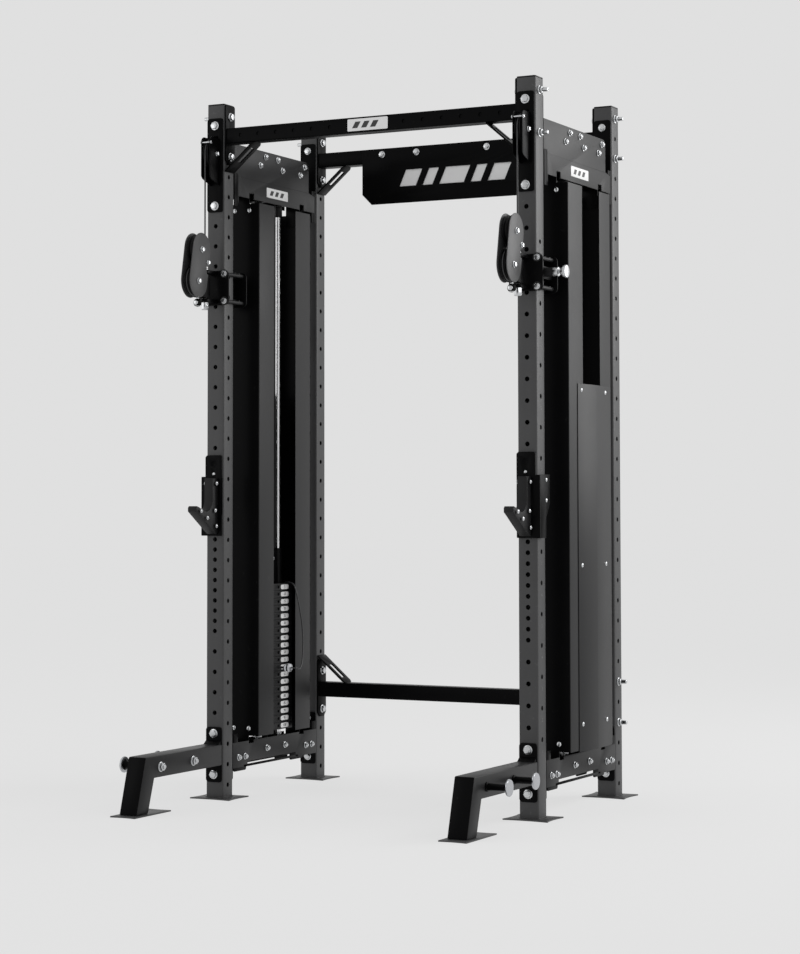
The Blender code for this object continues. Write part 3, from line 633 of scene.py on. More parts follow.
def side_plates(name, outline, node_name, side):
    """The two long plates of a tower's head or base."""
    plates = [prism(outline, "X", X_IN, X_IN + 0.005), prism(outline, "X", X_OUT - 0.005, X_OUT)]
    # The side plates take a darker copy of the graphite paint: painted shade.
    make(name, plates, PAINTED_SHADE_GRAPHITE, "frame", side, [node_name])


def between_plates(y, depth, low, high):
    return box((X_IN + 0.0055, y, low), (X_OUT - 0.0055, y + depth, high))


def end_plates(plate_z, return_z):
    """The plates at the front and rear of a head or base, each with a return along both sides."""
    thick, sheet, reach = 0.006, 0.0046, 0.034
    face = rectangle((TC - 0.035, plate_z[0]), (TC + 0.035, plate_z[1]), 0.010)
    plates = [prism(face, "Y", y, y + thick) for y in (CROSS_FRONT, CROSS_REAR - thick)]
    for x in (X_IN + 0.0002, X_OUT - 0.0002 - sheet):
        for y in (CROSS_FRONT + thick + 0.0002, CROSS_REAR - thick - 0.0002 - reach):
            plates.append(box((x, y, return_z[0]), (x + sheet, y + reach, return_z[1])))
    return plates


def make_head(side, hand):
    front, foot, notch = CROSS_FRONT, 2.342, 2.365
    outline = [(front, 2.545), *reversed(arc((0.665, 2.520), 0.025, 0, 90, 6)), (0.690, 2.420), (0.740, 2.410)]
    outline += [(0.740, foot)]
    for high_y, low_y in ((0.648, 0.612), (0.236, 0.197)):
        outline += [(high_y, foot), (high_y, notch), (low_y, notch), (low_y, foot)]
    outline += [(0.110, foot), (0.110, 2.432), (front, 2.432)]
    side_plates(f"head_side_plates_{hand}", outline, f"tower_head_{hand}", side)
    # A thin near-black strip along each side plate at its fold: painted shade in the crease.
    fold_shade_strip = rectangle((0.112, 2.4182), (0.689, 2.4200))
    crease_shade_strips = [prism(fold_shade_strip, "X", x - 0.0004, x + 0.0004) for x in (X_IN, X_OUT)]
    make(f"head_folds_{hand}", crease_shade_strips, STACK_PAINT, "frame", side, bevel=0)
    inner = [between_plates(y - 0.02, 0.04, 2.345, 2.375) for y in ROD_PLACES]
    inner += [between_plates(y, 0.004, 2.272, 2.400) for y in (0.2074, 0.6196)]
    inner.append(box((TC - 0.033, 0.700, 2.350), (TC + 0.033, 0.752, 2.356)))
    make(f"head_inner_blocks_{hand}", inner, BLACK_PAINT, "frame", side)
    slot = box((TC - 0.010, front - 0.01, 2.520), (TC + 0.010, front + 0.02, 2.575))
    ends = end_plates((2.334, 2.635), (2.300, 2.432))
    make(f"head_end_plates_{hand}", ends, BLACK_PAINT, "frame", side, cuts=[[slot]])
    fixings = []
    for z, places in ((2.523, (0.326, 0.427, 0.652)), (2.485, (0.284, 0.465, 0.614))):
        for y in places:
            fixings += axle_bolts((y, z), SECTION / 2, 0.78, 0.003)
    for z in (2.6055, 2.370):
        fixings += bolt("Y", (TC, z), CROSS_REAR - 0.006, -1, 0.9)
    for centre, radius in ((HEAD_AXLE, 0.006), ((STACK_Y + 0.055, 2.498), 0.008)):
        fixings.append(disc("X", centre, radius, X_IN + 0.001, X_OUT - 0.001, 16))
    fittings(f"head_bolts_{hand}", fixings, "frame", side)
    labels, marks = [], []
    label = rectangle((0.336, 2.363), (0.510, 2.402), 0.003)
    for x, way in ((X_OUT, 1), (X_IN, -1)):
        labels.append(prism(label, "X", x, x + way * 0.0012))
        for y in (0.360, 0.402, 0.444):
            marks.append(prism(slanted(y, 0.022, 0.012, 2.373, 2.392), "X", x + way * 0.0012, x + way * 0.0018))
    make(f"head_labels_{hand}", labels, WHITE, "frame", side, bevel=0.0002)
    make(f"head_label_marks_{hand}", marks, INK, "frame", side, bevel=0)


def make_base(side, hand):
    front, rear, top, notch = CROSS_FRONT, CROSS_REAR, 0.207, 0.196
    outline = [(front, 0.109), (0.190, 0.109), (0.190, 0.128), (0.580, 0.128), (0.580, 0.109), (rear, 0.109)]
    outline += [(rear, top)]
    for high_y, low_y in ((0.650, 0.610), (0.240, 0.200)):
        outline += [(high_y, top), (high_y, notch), (low_y, notch), (low_y, top)]
    outline += [(front, top)]
    side_plates(f"base_side_plates_{hand}", outline, f"tower_base_{hand}", side)
    blocks = [between_plates(y - 0.02, 0.04, 0.150, 0.195) for y in ROD_PLACES]
    blocks.append(between_plates(STACK_Y - 0.09, 0.18, 0.160, 0.168))
    blocks += [between_plates(y, 0.004, 0.150, 0.280) for y in (0.2074, 0.6196)]
    blocks += [box((x, 0.160, 0.108), (x + 0.006, 0.600, 0.117)) for x in (X_IN, X_OUT - 0.006)]
    for low, high in (((0.083, 0.096), (0.180, 0.140)), ((0.535, 0.100), (0.640, 0.140))):
        tab = rectangle(low, high, 0.008)
        blocks += [prism(tab, "X", x, x + 0.0046) for x in (X_IN + 0.0002, X_OUT - 0.0048)]
    make(f"base_black_parts_{hand}", blocks, BLACK_PAINT, "frame", side)
    profile = [(0.014, 0.168), (0.017, 0.180), (0.013, 0.195), (0.017, 0.212), (0.015, STACK_BOTTOM - 0.0006)]
    bumpers = [turned(profile, "Z", (TC, y), 24) for y in (STACK_Y - 0.035, STACK_Y + 0.035)]
    make(f"base_bumpers_{hand}", bumpers, RUBBER, "frame", side, bevel=0.0006)
    ends = end_plates((0.064, 0.275), (0.150, 0.240))
    make(f"base_end_plates_{hand}", ends, BLACK_PAINT, "frame", side)
    fixings = []
    for offset, z in ((0.2965, 0.149), (0.2465, 0.149), (0.0725, 0.166)):
        for sign in (-1, 1):
            fixings += axle_bolts((STACK_Y + sign * offset, z), SECTION / 2, 0.78, 0.004)
    for z in (0.0935, 0.2505):
        fixings += bolt("Y", (TC, z), rear - 0.006, -1, 0.95)
    fittings(f"base_bolts_{hand}", fixings, "frame", side)


def make_shrouds(side, hand):
    """Folded sheet channels in front of and behind the stack, in a darker copy of the graphite paint, with
    black on every face not turned outward: painted shade.
    """
    near, far, sheet, radius = TC - 0.079, TC + 0.079, 0.002, 0.004
    bend = [(radius * (1 - cos(a)), radius * (1 - sin(a))) for a in map(radians, (0, 30, 60, 90))]
    for name, face, inner, outer in (("front", 0.205, 0.323, 0.342), ("rear", 0.626, 0.502, 0.516)):
        way = 1 if inner > face else -1
        outside = [(near, inner)] + [(near + x, face + way * y) for x, y in bend]
        outside += [(far - x, face + way * y) for x, y in reversed(bend)] + [(far, outer)]
        behind, clear = face + way * sheet, face + way * (sheet + 0.002)
        inside = [(far - sheet, outer), (far - sheet, clear), (far - sheet - 0.002, behind)]
        inside += [(near + sheet + 0.002, behind), (near + sheet, clear), (near + sheet, inner)]
        shell = prism(outside + inside, "Z", SHROUD_LOW.z, SHROUD_HIGH.z)
        piece, node_name = f"shroud_{name}_shell_{hand}", f"shroud_{name}_{hand}"
        cover = make(piece, [shell], PAINTED_SHADE_GRAPHITE, "frame", side, [node_name], 0)
        # Faces not turned outward, toward the bay and across Y, are painted black: painted shade.
        shade_faces(cover, BLACK_PAINT, lambda normal, centre: normal.x * (centre.x - side * TC) < 0.03)
        screws = []
        for x in (0.622, 0.689):
            for z in (2.296, 0.254):
                screws += button("Y", (x, z), face, -way)
        fittings(f"shroud_{name}_screws_{hand}", screws, "frame", side, 0)


def make_cover(side, hand):
    """The outer cover, folded along its middle, in a darker copy of the graphite paint: painted shade."""
    low, high, z0, z1 = 0.285, 0.613, 0.220, 1.580
    middle, foot, rise, sheet = (low + high) / 2, TC + 0.0798, 0.009, 0.002
    ridge = foot + rise
    outline = [(foot, low), (foot + sheet, low)]
    outline += [(ridge + sheet, middle - 0.004), (ridge + sheet, middle + 0.004)]
    outline += [(foot + sheet, high), (foot, high), (ridge, middle + 0.003), (ridge, middle - 0.003)]
    panel = prism(outline, "Z", z0, z1)
    node_name = f"access_cover_{hand}"
    make(f"cover_panel_{hand}", [panel], PAINTED_SHADE_GRAPHITE, "frame", side, [node_name], 0.0005)
    screws = []
    for y in (0.316, 0.551):
        for z in (1.556, 0.906, 0.320):
            lift = foot + sheet + rise * (1 - abs(y - middle) / (high - middle)) - 0.0006
            screws += button("X", (y, z), lift, 1, 0.9)
    fittings(f"cover_screws_{hand}", screws, "frame", side, 0)


def make_rods(side, hand):
    for name, y in zip(("front", "rear"), ROD_PLACES):
        node_name = f"guide_rod_{name}_{hand}"
        low, high = (point.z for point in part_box(node_name))
        bar = turned([(ROD_R, low), (ROD_R, high)], "Z", (TC, y), 40)
        make(f"{node_name}_bar", [bar], CHROME, "frame", side, [node_name], 0)
        top = turned([(0.016, high - 0.045), (0.017, high - 0.043), (0.017, high - 0.001)], "Z", (TC, y), 32)
        make(f"{node_name}_top_collar", [top], PLASTIC, "frame", side, bevel=0)
        foot = turned([(0.017, low), (0.017, low + 0.018), (0.015, low + 0.020)], "Z", (TC, y), 32)
        fittings(f"{node_name}_base_collar", [foot], "frame", side, 0)


def make_plates(group, first, last, body, side, hand):
    """Weight plates from first up to last, each drilled for the pin, with its sticker and figures."""
    half_x, half_y, gap = 0.049, 0.115, 0.0008
    face = TC - half_x
    outline = rectangle((face, STACK_Y - half_y), (TC + half_x, STACK_Y + half_y), 0.004)
    plates, stickers, weights, holes = [], [], [], []
    for i in range(first, last):
        low = STACK_BOTTOM + i * PLATE_PITCH
        middle = low + PLATE_PITCH / 2
        plates.append(prism(outline, "Z", low, low + PLATE_PITCH - gap))
        holes.append(disc("X", (STACK_Y, middle), 0.0062, face - 0.002, TC - 0.010, 20))
        sticker = rectangle((STACK_Y + 0.018, middle - 0.0092), (STACK_Y + 0.082, middle + 0.0092), 0.008)
        stickers.append(prism(sticker, "X", face - 0.0006, face + 0.0002))
        place = (face - 0.0008, STACK_Y + 0.050, middle)
        weights.append(figures(str((PLATES - i) * WEIGHT_STEP), 0.0002, -1, side, place))
    low, high = STACK_BOTTOM + first * PLATE_PITCH, STACK_BOTTOM + last * PLATE_PITCH
    holes = [disc("Z", (TC, y), ROD_R + 0.001, low - 0.01, high + 0.01, 24) for y in ROD_PLACES] + holes
    node_name = f"stack_{group}_{hand}"
    make(f"plates_{group}_{hand}", plates, STACK_PAINT, body, side, [node_name], 0.0012, [holes])
    make(f"plate_stickers_{group}_{hand}", stickers, WHITE, body, side, bevel=0)
    make(f"plate_figures_{group}_{hand}", weights, INK, body, side, bevel=0)


def make_stack(side, hand):
    body = f"stack_{hand}"
    make_plates("resting", 0, PLATES - LIFTED, "frame", side, hand)
    make_plates("lifted", PLATES - LIFTED, PLATES, body, side, hand)
    rod = disc("Z", (TC, STACK_Y), 0.0105, STACK_BOTTOM + 0.006, STACK_TOP + 0.004, 24)
    axle = disc("X", FLOATING_AXLE, 0.006, TC - 0.022, TC + 0.022, 20)
    fittings(f"selector_rod_{hand}", [rod, axle, *axle_bolts(FLOATING_AXLE, 0.020, 0.6)], body, side)
    front, rear, shoulder = STACK_Y - 0.046, STACK_Y + 0.046, STACK_TOP + 0.060
    outline = [(front, STACK_TOP - 0.0005), (rear, STACK_TOP - 0.0005), (rear, shoulder)]
    outline += arc((STACK_Y, 0.930), 0.027, 20, 160, 10) + [(front, shoulder)]
    bracket = cheek_pair(outline, 0.016, 0.020)
    bracket.append(box((TC - 0.016, front, STACK_TOP - 0.0004), (TC + 0.016, rear, STACK_TOP + 0.005)))
    make(f"stack_pulley_bracket_{hand}", bracket, BLACK_PAINT, body, side)
    inner = ROD_R + 0.001
    sleeve = [(inner, STACK_TOP - 0.001), (0.0180, STACK_TOP - 0.001), (0.0180, STACK_TOP + 0.026)]
    sleeve += [(0.0160, STACK_TOP + 0.030), (0.0160, 0.953), (0.0150, 0.955), (inner, 0.955)]
    bushes = [turned(sleeve, "Z", (TC, y), 32, True) for y in ROD_PLACES]
    make(f"stack_bushes_{hand}", bushes, NYLON, body, side, bevel=0)


def make_selector_pin(side, hand):
    start, centre, body = TC - 0.049, (STACK_Y, PIN_Z), f"selector_pin_{hand}"
    pin = turned([(0.005, start - 0.030), (0.005, TC - 0.006), (0.0035, TC - 0.002)], "X", centre, 20)
    make(f"selector_pin_shaft_{hand}", [pin], ZINC, body, side, [body], 0)
    grip = ((0.006, 0.028), (0.012, 0.029), (0.014, 0.033), (0.011, 0.038),
            (0.017, 0.044), (0.018, 0.050), (0.015, 0.056), (0.006, 0.058))
    knob = turned([(radius, start - reach) for radius, reach in grip], "X", centre, 32)
    make(f"selector_pin_grip_{hand}", [knob], CLEAR_DISC, body, side, bevel=0)


# ---------------------------------------------------------------- pulleys and cables


def make_pulley(name, axle, body, side):
    """A moulded wheel: cable groove, recessed web with five round openings, and a bearing."""
    half, web, openings_r = 0.011, 0.0075, 0.0315
    flank = [(0.0125, half), (0.0175, half), (0.0195, web), (0.0435, web),
             (0.0455, half), (0.0560, half), (0.0578, half - 0.0018), (0.0578, half - 0.0030)]
    groove = [(0.0535 - 0.0045 * sin(a), -0.0045 * cos(a)) for a in map(radians, range(0, 181, 30))]
    profile = [(radius, -along) for radius, along in flank] + groove + flank[::-1]
    wheel = turned([(radius, TC + along) for radius, along in profile], "X", axle, 48, True)
    centres = arc(axle, openings_r, 0, 288, 4)
    openings = [disc("X", centre, 0.0078, TC - 0.02, TC + 0.02, 20) for centre in centres]
    make(f"{name}_wheel", [wheel], NYLON, body, side, [name], 0, [openings])
    low, high = TC - half + 0.001, TC + half - 0.001
    race = turned([(0.0066, low), (0.0124, low), (0.0124, high), (0.0066, high)], "X", axle, 32, True)
    fittings(f"{name}_bearing", [race], body, side, 0.0004)


def make_pulleys(side, hand):
    for name, axle, body in (
        ("top_pulley", TOP_AXLE, "top_pulley"),
        ("head_pulley", HEAD_AXLE, "head_pulley"),
        ("floating_pulley", FLOATING_AXLE, "floating_pulley"),
        ("trolley_pulley_upper", UPPER_AXLE, "upper_pulley"),
        ("trolley_pulley_lower", LOWER_AXLE, "lower_pulley"),
    ):
        make_pulley(f"{name}_{hand}", axle, f"{body}_{hand}", side)


def tube_shape(route, radius, segments=14):
    """A round tube along a route of points."""
    route = [Vector(place) for place in route]
    last = len(route) - 1
    points = []
    normal = (route[1] - route[0]).orthogonal().normalized()
    for i, place in enumerate(route):
        along = (route[min(last, i + 1)] - route[max(0, i - 1)]).normalized()
        normal = (normal - along * normal.dot(along)).normalized()
        across = along.cross(normal)
        for k in range(segments):
            a = 2 * pi * k / segments
            points.append(tuple(place + normal * (radius * cos(a)) + across * (radius * sin(a))))
    return skinned(points, segments)


def straight(a, b, steps):
    return [(a[0] + (b[0] - a[0]) * i / steps, a[1] + (b[1] - a[1]) * i / steps) for i in range(steps + 1)]


def cable_shape(route):
    """A cable along a route of (y, z) points in the tower's centre plane."""
    return tube_shape([(TC, y, z) for y, z in route], CABLE_R)


def stretched(name, route, side, node_name):
    """A cable that stretches between the frame and a sliding body."""
    obj = mesh_object(name, [cable_shape(route)], side)
    dress(obj, CABLE, 50)
    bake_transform(obj)
    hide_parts(node_name)


def cable(name, route, body, side, replaces=()):
    """A cable that keeps its shape."""
    make(name, [cable_shape(route)], CABLE, body, side, replaces, 0)


def make_cables(side, hand):
    top, foot = TOP_AXLE[1] - 0.0004, UPPER_AXLE[1]
    run = straight((CABLE_Y, top), (CABLE_Y, foot), 40)
    stretched(f"cable_front_run_{hand}", run, side, f"cable_front_{hand}")
    over = arc(TOP_AXLE, LINE_R, 180, 91, 16) + arc(HEAD_AXLE, LINE_R, 91, 0, 16)
    cable(f"cable_over_{hand}", over, "frame", side, [f"cable_top_{hand}"])
    high, low = HEAD_AXLE[1] - 0.0004, FLOATING_AXLE[1] + 0.03
    for name, y in (("down", STACK_Y - 0.055), ("up", STACK_Y + 0.055)):
        run = straight((y, high), (y, low), 60)
        stretched(f"cable_{name}_{hand}", run, side, f"cable_stack_{hand}")
    loop = straight((STACK_Y - LINE_R, low), (STACK_Y - LINE_R, FLOATING_AXLE[1]), 2)[:-1]
    loop += arc(FLOATING_AXLE, LINE_R, 180, 360, 24)
    loop += straight((STACK_Y + LINE_R, FLOATING_AXLE[1]), (STACK_Y + LINE_R, low), 2)[1:]
    cable(f"cable_loop_{hand}", loop, f"stack_{hand}", side)
    lead = arc(UPPER_AXLE, LINE_R, 0, -62, 10)
    lead += arc(LOWER_AXLE, LINE_R, 118, 270, 18) + arc((LOWER_AXLE[0] + 0.012, 1.9175), 0.0130, 90, 0, 5)
    cable(f"cable_trolley_{hand}", lead, f"housing_{hand}", side)


def lanyard_places():
    """The lanyard's route, as the part's source has it."""
    face = TC - 0.049
    return [
        (face + 0.010, STACK_Y + 0.070, STACK_TOP + 0.004),
        (face - 0.010, STACK_Y + 0.070, STACK_TOP + 0.004),
        (face - 0.030, STACK_Y + 0.071, STACK_TOP - 0.006),
        (face - 0.042, STACK_Y + 0.074, STACK_TOP - 0.042),
        (face - 0.050, STACK_Y + 0.084, STACK_TOP - 0.100),
        (face - 0.056, STACK_Y + 0.094, STACK_TOP - 0.170),
        (face - 0.062, STACK_Y + 0.091, STACK_TOP - 0.240),
        (face - 0.070, STACK_Y + 0.072, STACK_TOP - 0.300),
        (face - 0.077, STACK_Y + 0.040, STACK_TOP - 0.338),
        (face - 0.076, STACK_Y + 0.010, PIN_Z),
        (face - 0.068, STACK_Y, PIN_Z),
        (face - 0.0585, STACK_Y, PIN_Z),
    ]


def smooth_route(places, steps):
    """Points on a smooth curve that passes through the places."""
    ends = [places[0], *places, places[-1]]
    route = []
    for around in zip(ends, ends[1:], ends[2:], ends[3:]):
        p, q, r, s = (Vector(place) for place in around)
        for i in range(steps):
            t = i / steps
            bend = (2 * p - 5 * q + 4 * r - s) * t**2 + (3 * q - p - 3 * r + s) * t**3
            route.append(tuple(0.5 * (2 * q + (r - p) * t + bend)))
    return route + [places[-1]]


def make_lanyard(side, hand):
    """The cord from the stack to its pin, along a smooth route through the source's places."""
    radius = 0.0026
    places = smooth_route(lanyard_places(), 6)
    obj = mesh_object(f"lanyard_cord_{hand}", [tube_shape(places, radius, 12)], side)
    dress(obj, CABLE, 50)
    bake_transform(obj)
    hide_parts(f"lanyard_{hand}")


# ---------------------------------------------------------------- top bracket, trolley


def make_top_bracket(side, hand):
    name = f"top_pulley_bracket_{hand}"
    slot = box((TC - 0.0138, -0.012, 2.425), (TC + 0.0138, 0.010, 2.565))
    plate_with_bolts(f"{name}_plate", 2.267, 2.635, (2.6055, 2.2915), side, [slot])
    cheek = [(-0.0065, 2.370), (-0.070, 2.392), (-0.079, 2.402), (-0.079, 2.530)]
    cheek += arc((-0.057, 2.533), 0.022, 180, 90, 6) + [(-0.0065, 2.555)]
    cheeks = cheek_pair(cheek, 0.0165, 0.020)
    make(f"{name}_cheeks", cheeks, BLACK_PAINT, "frame", side, [name])
    fixings = [disc("X", TOP_AXLE, 0.006, TC - 0.02, TC + 0.02, 20)]
    fixings.append(disc("X", (-0.0745, 2.532), 0.003, TC - 0.02, TC + 0.02, 16))
    fixings += axle_bolts(TOP_AXLE, 0.020, 0.62) + axle_bolts((-0.0720, 2.532), 0.020, 0.42)
    fittings(f"{name}_bolts", fixings, "frame", side)


def make_carriage(side, hand):
    """The trolley: plates before and behind the upright, rollers, the pin's bar and the swivel's lugs."""
    near, far, low, high = TC - 0.065, TC + 0.068, 1.903, 2.0375
    front_y, rear_y, thick = -0.012, 0.126, 0.006
    body, node_name = f"trolley_{hand}", f"trolley_carriage_{hand}"
    face = rectangle((near, low), (far, high), 0.018, 6)
    plates = [prism(face, "Y", y, y + thick) for y in (front_y, rear_y)]
    bar_x = (X_OUT + 0.0075, X_OUT + 0.0135)
    plates.append(box((bar_x[0], front_y + 0.001, 1.950), (bar_x[1], rear_y + 0.005, 1.996)))
    lug = arc((TC, CABLE_Y), 0.015, 180, 360, 10)
    lug += [(TC + 0.015, front_y + 0.001), (TC - 0.015, front_y + 0.001)]
    plates += [prism(lug, "Z", z - 0.007, z + 0.007) for z in (1.9165, 2.028)]
    make(f"{node_name}_plates", plates, BLACK_PAINT, body, side, [node_name])
    spacers, fixings, rollers = [], [], []
    spacer = [(0.0075, front_y + 0.005), (0.0075, rear_y + 0.001)]
    washer = [(0.0165, front_y), (0.0165, front_y - 0.002), (0.0150, front_y - 0.003)]
    roller = [(0.011, TC - 0.034), (0.013, TC - 0.030), (0.013, TC + 0.030), (0.011, TC + 0.034)]
    for z in (low + 0.016, high - 0.0125):
        for x in (TC - 0.0465, TC + 0.0465):
            spacers += [turned(spacer, "Y", (x, z), 24), turned(washer, "Y", (x, z), 28)]
            fixings += bolt("Y", (x, z), front_y - 0.002, -1, 0.70)
            fixings += bolt("Y", (x, z), rear_y + thick, 1, 0.62, 0.003)
        axle = (0.0945, z + 0.0023)
        rollers.append(turned(roller, "X", axle, 28))
        spacers.append(disc("X", axle, 0.006, TC - 0.0523, TC + 0.0518, 16))
    pads = []
    for z in (1.912, 1.994):
        pads.append(box((X_IN + 0.006, front_y + 0.0062, z), (X_OUT - 0.006, -0.0004, z + 0.034)))
    for z in (1.934, 1.998):
        pads.append(box((X_OUT + 0.0010, front_y + 0.0062, z), (X_OUT + 0.0072, front_y + 0.030, z + 0.014)))
    # The spacers between the plates take a darker copy of the graphite paint: painted shade.
    make(f"{node_name}_spacers", spacers, PAINTED_SHADE_GRAPHITE, body, side, bevel=0)
    make(f"{node_name}_rollers", rollers, NYLON, body, side, bevel=0)
    make(f"{node_name}_pads", pads, GREY_PAINT, body, side)
    pin = [(0.0085, 1.905), (0.0085, 2.034), (0.0125, 2.0352), (0.0125, 2.0385), (0.0105, 2.040)]
    fixings.append(turned(pin, "Z", (TC, CABLE_Y), 28))
    fixings.append(turned([(0.0125, 1.880), (0.0150, 1.8825), (0.0150, 1.9090)], "Z", (TC, CABLE_Y), 6))
    fixings.append(turned([(0.0172, 0.7472), (0.0172, 0.7655), (0.0155, 0.767)], "X", POP_PIN, 32))
    fittings(f"{node_name}_bolts", fixings, body, side)
    start = bar_x[1] - 0.0005
    barrel = [(0.019, start), (0.019, start + 0.004), (0.017, start + 0.006), (0.017, 0.747)]
    make(f"{node_name}_barrel", [turned(barrel, "X", POP_PIN, 32)], PLASTIC, body, side, bevel=0.0004)


def make_pop_pin(side, hand):
    body = f"pop_pin_{hand}"
    neck = [(0.006, 0.760), (0.006, 0.7725), (0.0125, 0.7740), (0.0150, 0.7800), (0.0150, 0.7865)]
    fittings(f"{body}_neck", [turned(neck, "X", POP_PIN, 32)], body, side, 0)
    knob = [(0.014, 0.7850), (0.0220, 0.7860), (0.0240, 0.7885), (0.0240, 0.7960)]
    knob += [(0.0222, 0.7992), (0.0120, 0.8008), (0.0030, 0.8010)]
    make(f"{body}_knob", [turned(knob, "X", POP_PIN, 48)], ZINC, body, side, [body], 0)


def make_housing(side, hand):
    """Two cheeks round the trolley's pulleys, leaning as their axles do, on the swivel's sleeve."""
    body, node_name, radius = f"housing_{hand}", f"pulley_housing_{hand}", 0.064
    lean = degrees(atan2(LOWER_AXLE[0] - UPPER_AXLE[0], UPPER_AXLE[1] - LOWER_AXLE[1]))
    outline = arc(UPPER_AXLE, radius, lean, 180 + lean, 24)
    outline += arc(LOWER_AXLE, radius, 180 + lean, 360 + lean, 24)
    web = rectangle((-0.130, 1.9265), (CABLE_Y + 0.006, 2.010))
    notch = box((TC - 0.03, CABLE_Y - 0.020, 2.016), (TC + 0.03, CABLE_Y + 0.03, 2.046))
    cheeks, webs = cheek_pair(outline, 0.0175, 0.0205), cheek_pair(web, 0.0177, 0.0203)
    for number, (cheek, web) in enumerate(zip(cheeks, webs)):
        name, taken = f"{node_name}_cheek_{number}", [] if number else [node_name]
        make(name, [cheek], GREY_PAINT, body, side, taken, cuts=[[notch]])
        make(f"{node_name}_web_{number}", [web], BLACK_PAINT, body, side)
    sleeve = [(0.0087, 1.9245), (0.0160, 1.9245), (0.0160, 2.016), (0.0087, 2.016)]
    make(f"{node_name}_sleeve", [turned(sleeve, "Z", (TC, CABLE_Y), 32, True)], BLACK_PAINT, body, side)
    fixings = []
    stay = (-0.090, 2.062)
    for centre, shaft, size in ((UPPER_AXLE, 0.006, 0.74), (LOWER_AXLE, 0.006, 0.74), (stay, 0.004, 0.62)):
        fixings.append(disc("X", centre, shaft, TC - 0.02, TC + 0.02, 20))
        fixings += axle_bolts(centre, 0.0205, size)
    fittings(f"{node_name}_bolts", fixings, body, side)


# ---------------------------------------------------------------- cups and feet


def make_ball_stop(side, hand):
    """The rubber ball that the cable hangs from, with its metal core."""
    body, radius, centre = f"housing_{hand}", 0.016, (TC, -0.135)
    ball = [(radius * cos(a), BALL_Z + radius * sin(a)) for a in map(radians, range(-80, 81, 10))]
    node_name = f"ball_stop_{hand}"
    shape = turned(ball, "Z", centre, 36)
    make(f"ball_stop_body_{hand}", [shape], RUBBER, body, side, [node_name], 0)
    core = [(0.0088, BALL_Z - 0.0145), (0.0105, BALL_Z - 0.0128), (0.0105, BALL_Z - 0.010)]
    core = turned(core, "Z", centre, 24)
    face = turned([(0.0095, -0.1470), (0.0095, -0.1505), (0.0070, -0.1515)], "Y", (TC, BALL_Z), 28)
    sleeve = turned([(0.005, BALL_Z + 0.014), (0.005, BALL_Z + 0.024)], "Z", centre, 20)
    fittings(f"ball_stop_core_{hand}", [core, face, sleeve], body, side)


def make_cup(side, hand):
    """The barbell cup: a plate and cheek on padding, and a hook of two webs with a liner between."""
    body, outer = f"j_cup_{hand}", X_OUT + 0.0105
    corner = 0.007
    upper = [(X_IN, 1.090), (TC + 0.036, 1.090), (TC + 0.036, 1.321 - corner), (TC + 0.036 - corner, 1.321)]
    upper += [(X_IN + corner, 1.321), (X_IN, 1.321 - corner)]
    lower = rectangle((X_IN, 1.010), (X_OUT + 0.0165, 1.238), 0.004)
    cheek = [(-0.012, 1.010), (0.044, 1.010), (0.046, 1.083), (0.079, 1.1325), (0.079, 1.240), (-0.012, 1.238)]
    steel = [prism(upper, "Y", -0.0134, -0.0064), prism(lower, "Y", -0.0133, -0.0064)]
    steel.append(prism(cheek, "X", outer, outer + 0.0058))
    hook = [(-0.012, 1.012), (-0.030, 1.012), (-0.174, 1.100), (-0.174, 1.112), (-0.166, 1.119)]
    hook += [(-0.150, 1.113), *arc((-0.096, 1.146), 0.050, 245, 360, 10), (-0.046, 1.226), (-0.012, 1.226)]
    steel += cheek_pair(hook, 0.019, 0.025)
    recess = turned([(0.012, -0.02), (0.012, -0.0125), (0.006, -0.009)], "Y", (TC - 0.002, 1.286), 28)
    make(f"{body}_steel", steel, BLACK_PAINT, body, side, [body], 0.0008, [[recess]])
    liner = [(-0.010, 1.016), (-0.032, 1.018), (-0.172, 1.104), (-0.172, 1.118), (-0.165, 1.125)]
    liner += [(-0.150, 1.121), *arc((-0.096, 1.150), 0.046, 245, 360, 12), (-0.050, 1.232), (-0.010, 1.232)]
    make(f"{body}_liner", [prism(liner, "X", TC - 0.0188, TC + 0.0188)], LINER, body, side, bevel=0.0015)
    pads = [prism(rectangle((X_IN + 0.002, 1.012), (X_OUT - 0.002, 1.318)), "Y", -0.0063, -0.0004)]
    pads.append(prism(rectangle((0.000, 1.014), (0.042, 1.236)), "X", X_OUT + 0.0006, X_OUT + 0.0104))
    make(f"{body}_pads", pads, LINER, body, side, bevel=0.001)
    fixings = []
    for centre in ((-0.143, 1.106), (-0.098, 1.080), (-0.039, 1.108), (-0.030, 1.048), (-0.030, 1.212)):
        for way in (-1, 1):
            fixings += button("X", centre, TC + way * 0.025, way, 0.85)
    for centre in ((0.045, 1.220), (0.045, 1.146)):
        fixings += button("X", centre, outer + 0.0058, 1, 0.8)
    fixings += button("Y", (TC - 0.002, 1.2485), -0.0134, -1, 0.65)
    fittings(f"{body}_bolts", fixings, body, side, 0.0002)


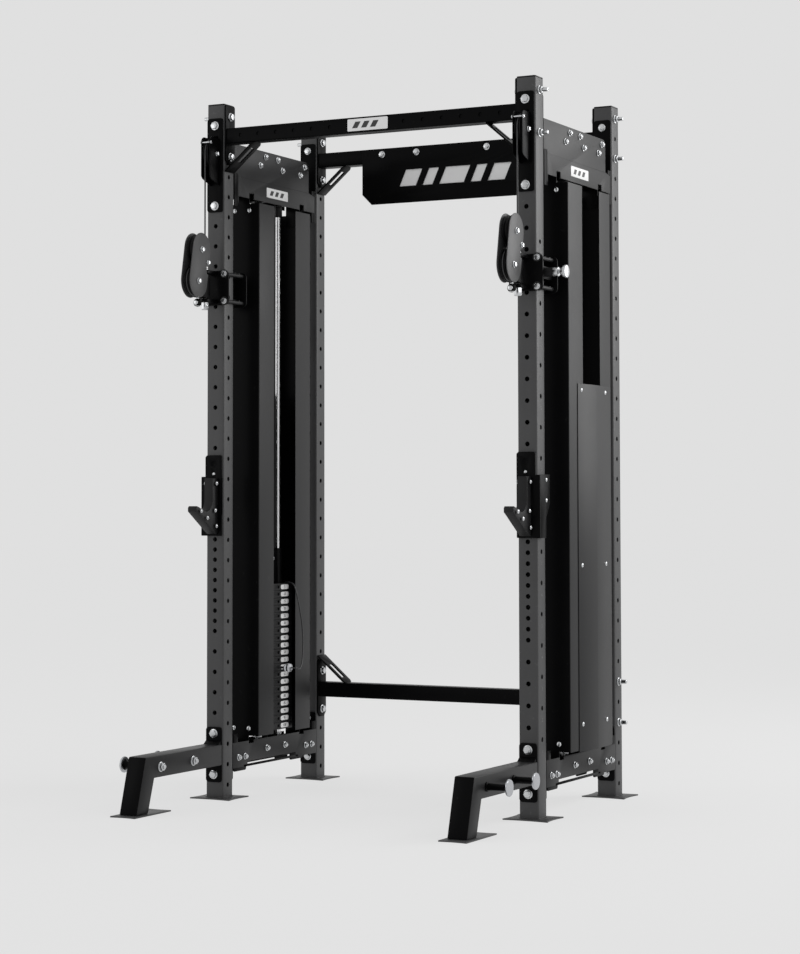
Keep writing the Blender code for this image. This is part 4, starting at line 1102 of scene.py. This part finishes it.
def make_foot(side, hand):
    name = f"foot_{hand}"
    outline = [(-0.0060, 0.130), (-0.491, 0.130), (-0.533, 0.005), (-0.613, 0.005), (-0.551, 0.210)]
    tube = prism([*outline, (-0.0060, 0.210)], "X", X_IN, X_OUT)
    # The leg is a darker copy of the graphite paint, with its faces toward the front black: painted shade,
    # darker on the front.
    leg = make(f"{name}_tube", [tube], PAINTED_SHADE_GRAPHITE, "frame", side, [name], 0.0045)
    shade_faces(leg, BLACK_PAINT, lambda normal, centre: normal.y < -0.5)
    pad = bowed_plate((TC - 0.0525, -0.650), (TC + 0.0525, -0.400), (0.006, 0, 0.006, 0), 9)
    make(f"{name}_plate", [prism(pad, "Z", 0.0, 0.005)], GREY_PAINT, "frame", side)
    plate_with_bolts(f"{name}_flange", 0.064, 0.275, (0.0935, 0.2505), side)
    gusset = prism([(-0.0064, 0.209), (-0.030, 0.209), (-0.0064, 0.226)], "X", TC - 0.033, TC + 0.033)
    make(f"{name}_gusset", [gusset], BLACK_PAINT, "frame", side)
    end = X_OUT + 0.088
    peg = [(0.017, X_OUT), (0.017, X_OUT + 0.004), (0.0125, X_OUT + 0.006)]
    peg += [(0.0125, end - 0.022), (0.015, end - 0.014), (0.021, end - 0.009)]
    cap = [(0.021, end - 0.0095), (0.0285, end - 0.0085), (0.0300, end - 0.006), (0.0300, end - 0.003)]
    cap += [(0.0280, end - 0.0005), (0.012, end)]
    centres = ((-0.450, 0.168), (-0.220, 0.168))
    pegs = [turned(peg, "X", centre, 32) for centre in centres]
    caps = [turned(cap, "X", centre, 40) for centre in centres]
    nuts = [shape for centre in centres for shape in bolt("X", centre, X_IN, -1, 1.15, 0.006)]
    make(f"{name}_pegs", pegs, BLACK_PAINT, "frame", side, bevel=0)
    make(f"{name}_peg_discs", caps, CLEAR_DISC, "frame", side, bevel=0)
    fittings(f"{name}_peg_nuts", nuts, "frame", side)


TOWER_PARTS = (
    make_head, make_base, make_shrouds, make_cover, make_rods, make_stack, make_selector_pin,
    make_top_bracket, make_pulleys, make_cables, make_lanyard, make_carriage, make_pop_pin,
    make_housing, make_ball_stop, make_cup, make_foot, slide_numbers,
)

make_camera()
make_studio()
make_uprights()
make_beams()
make_sign()
for tower_side, tower_hand in SIDES:
    for make_part in TOWER_PARTS:
        make_part(tower_side, tower_hand)
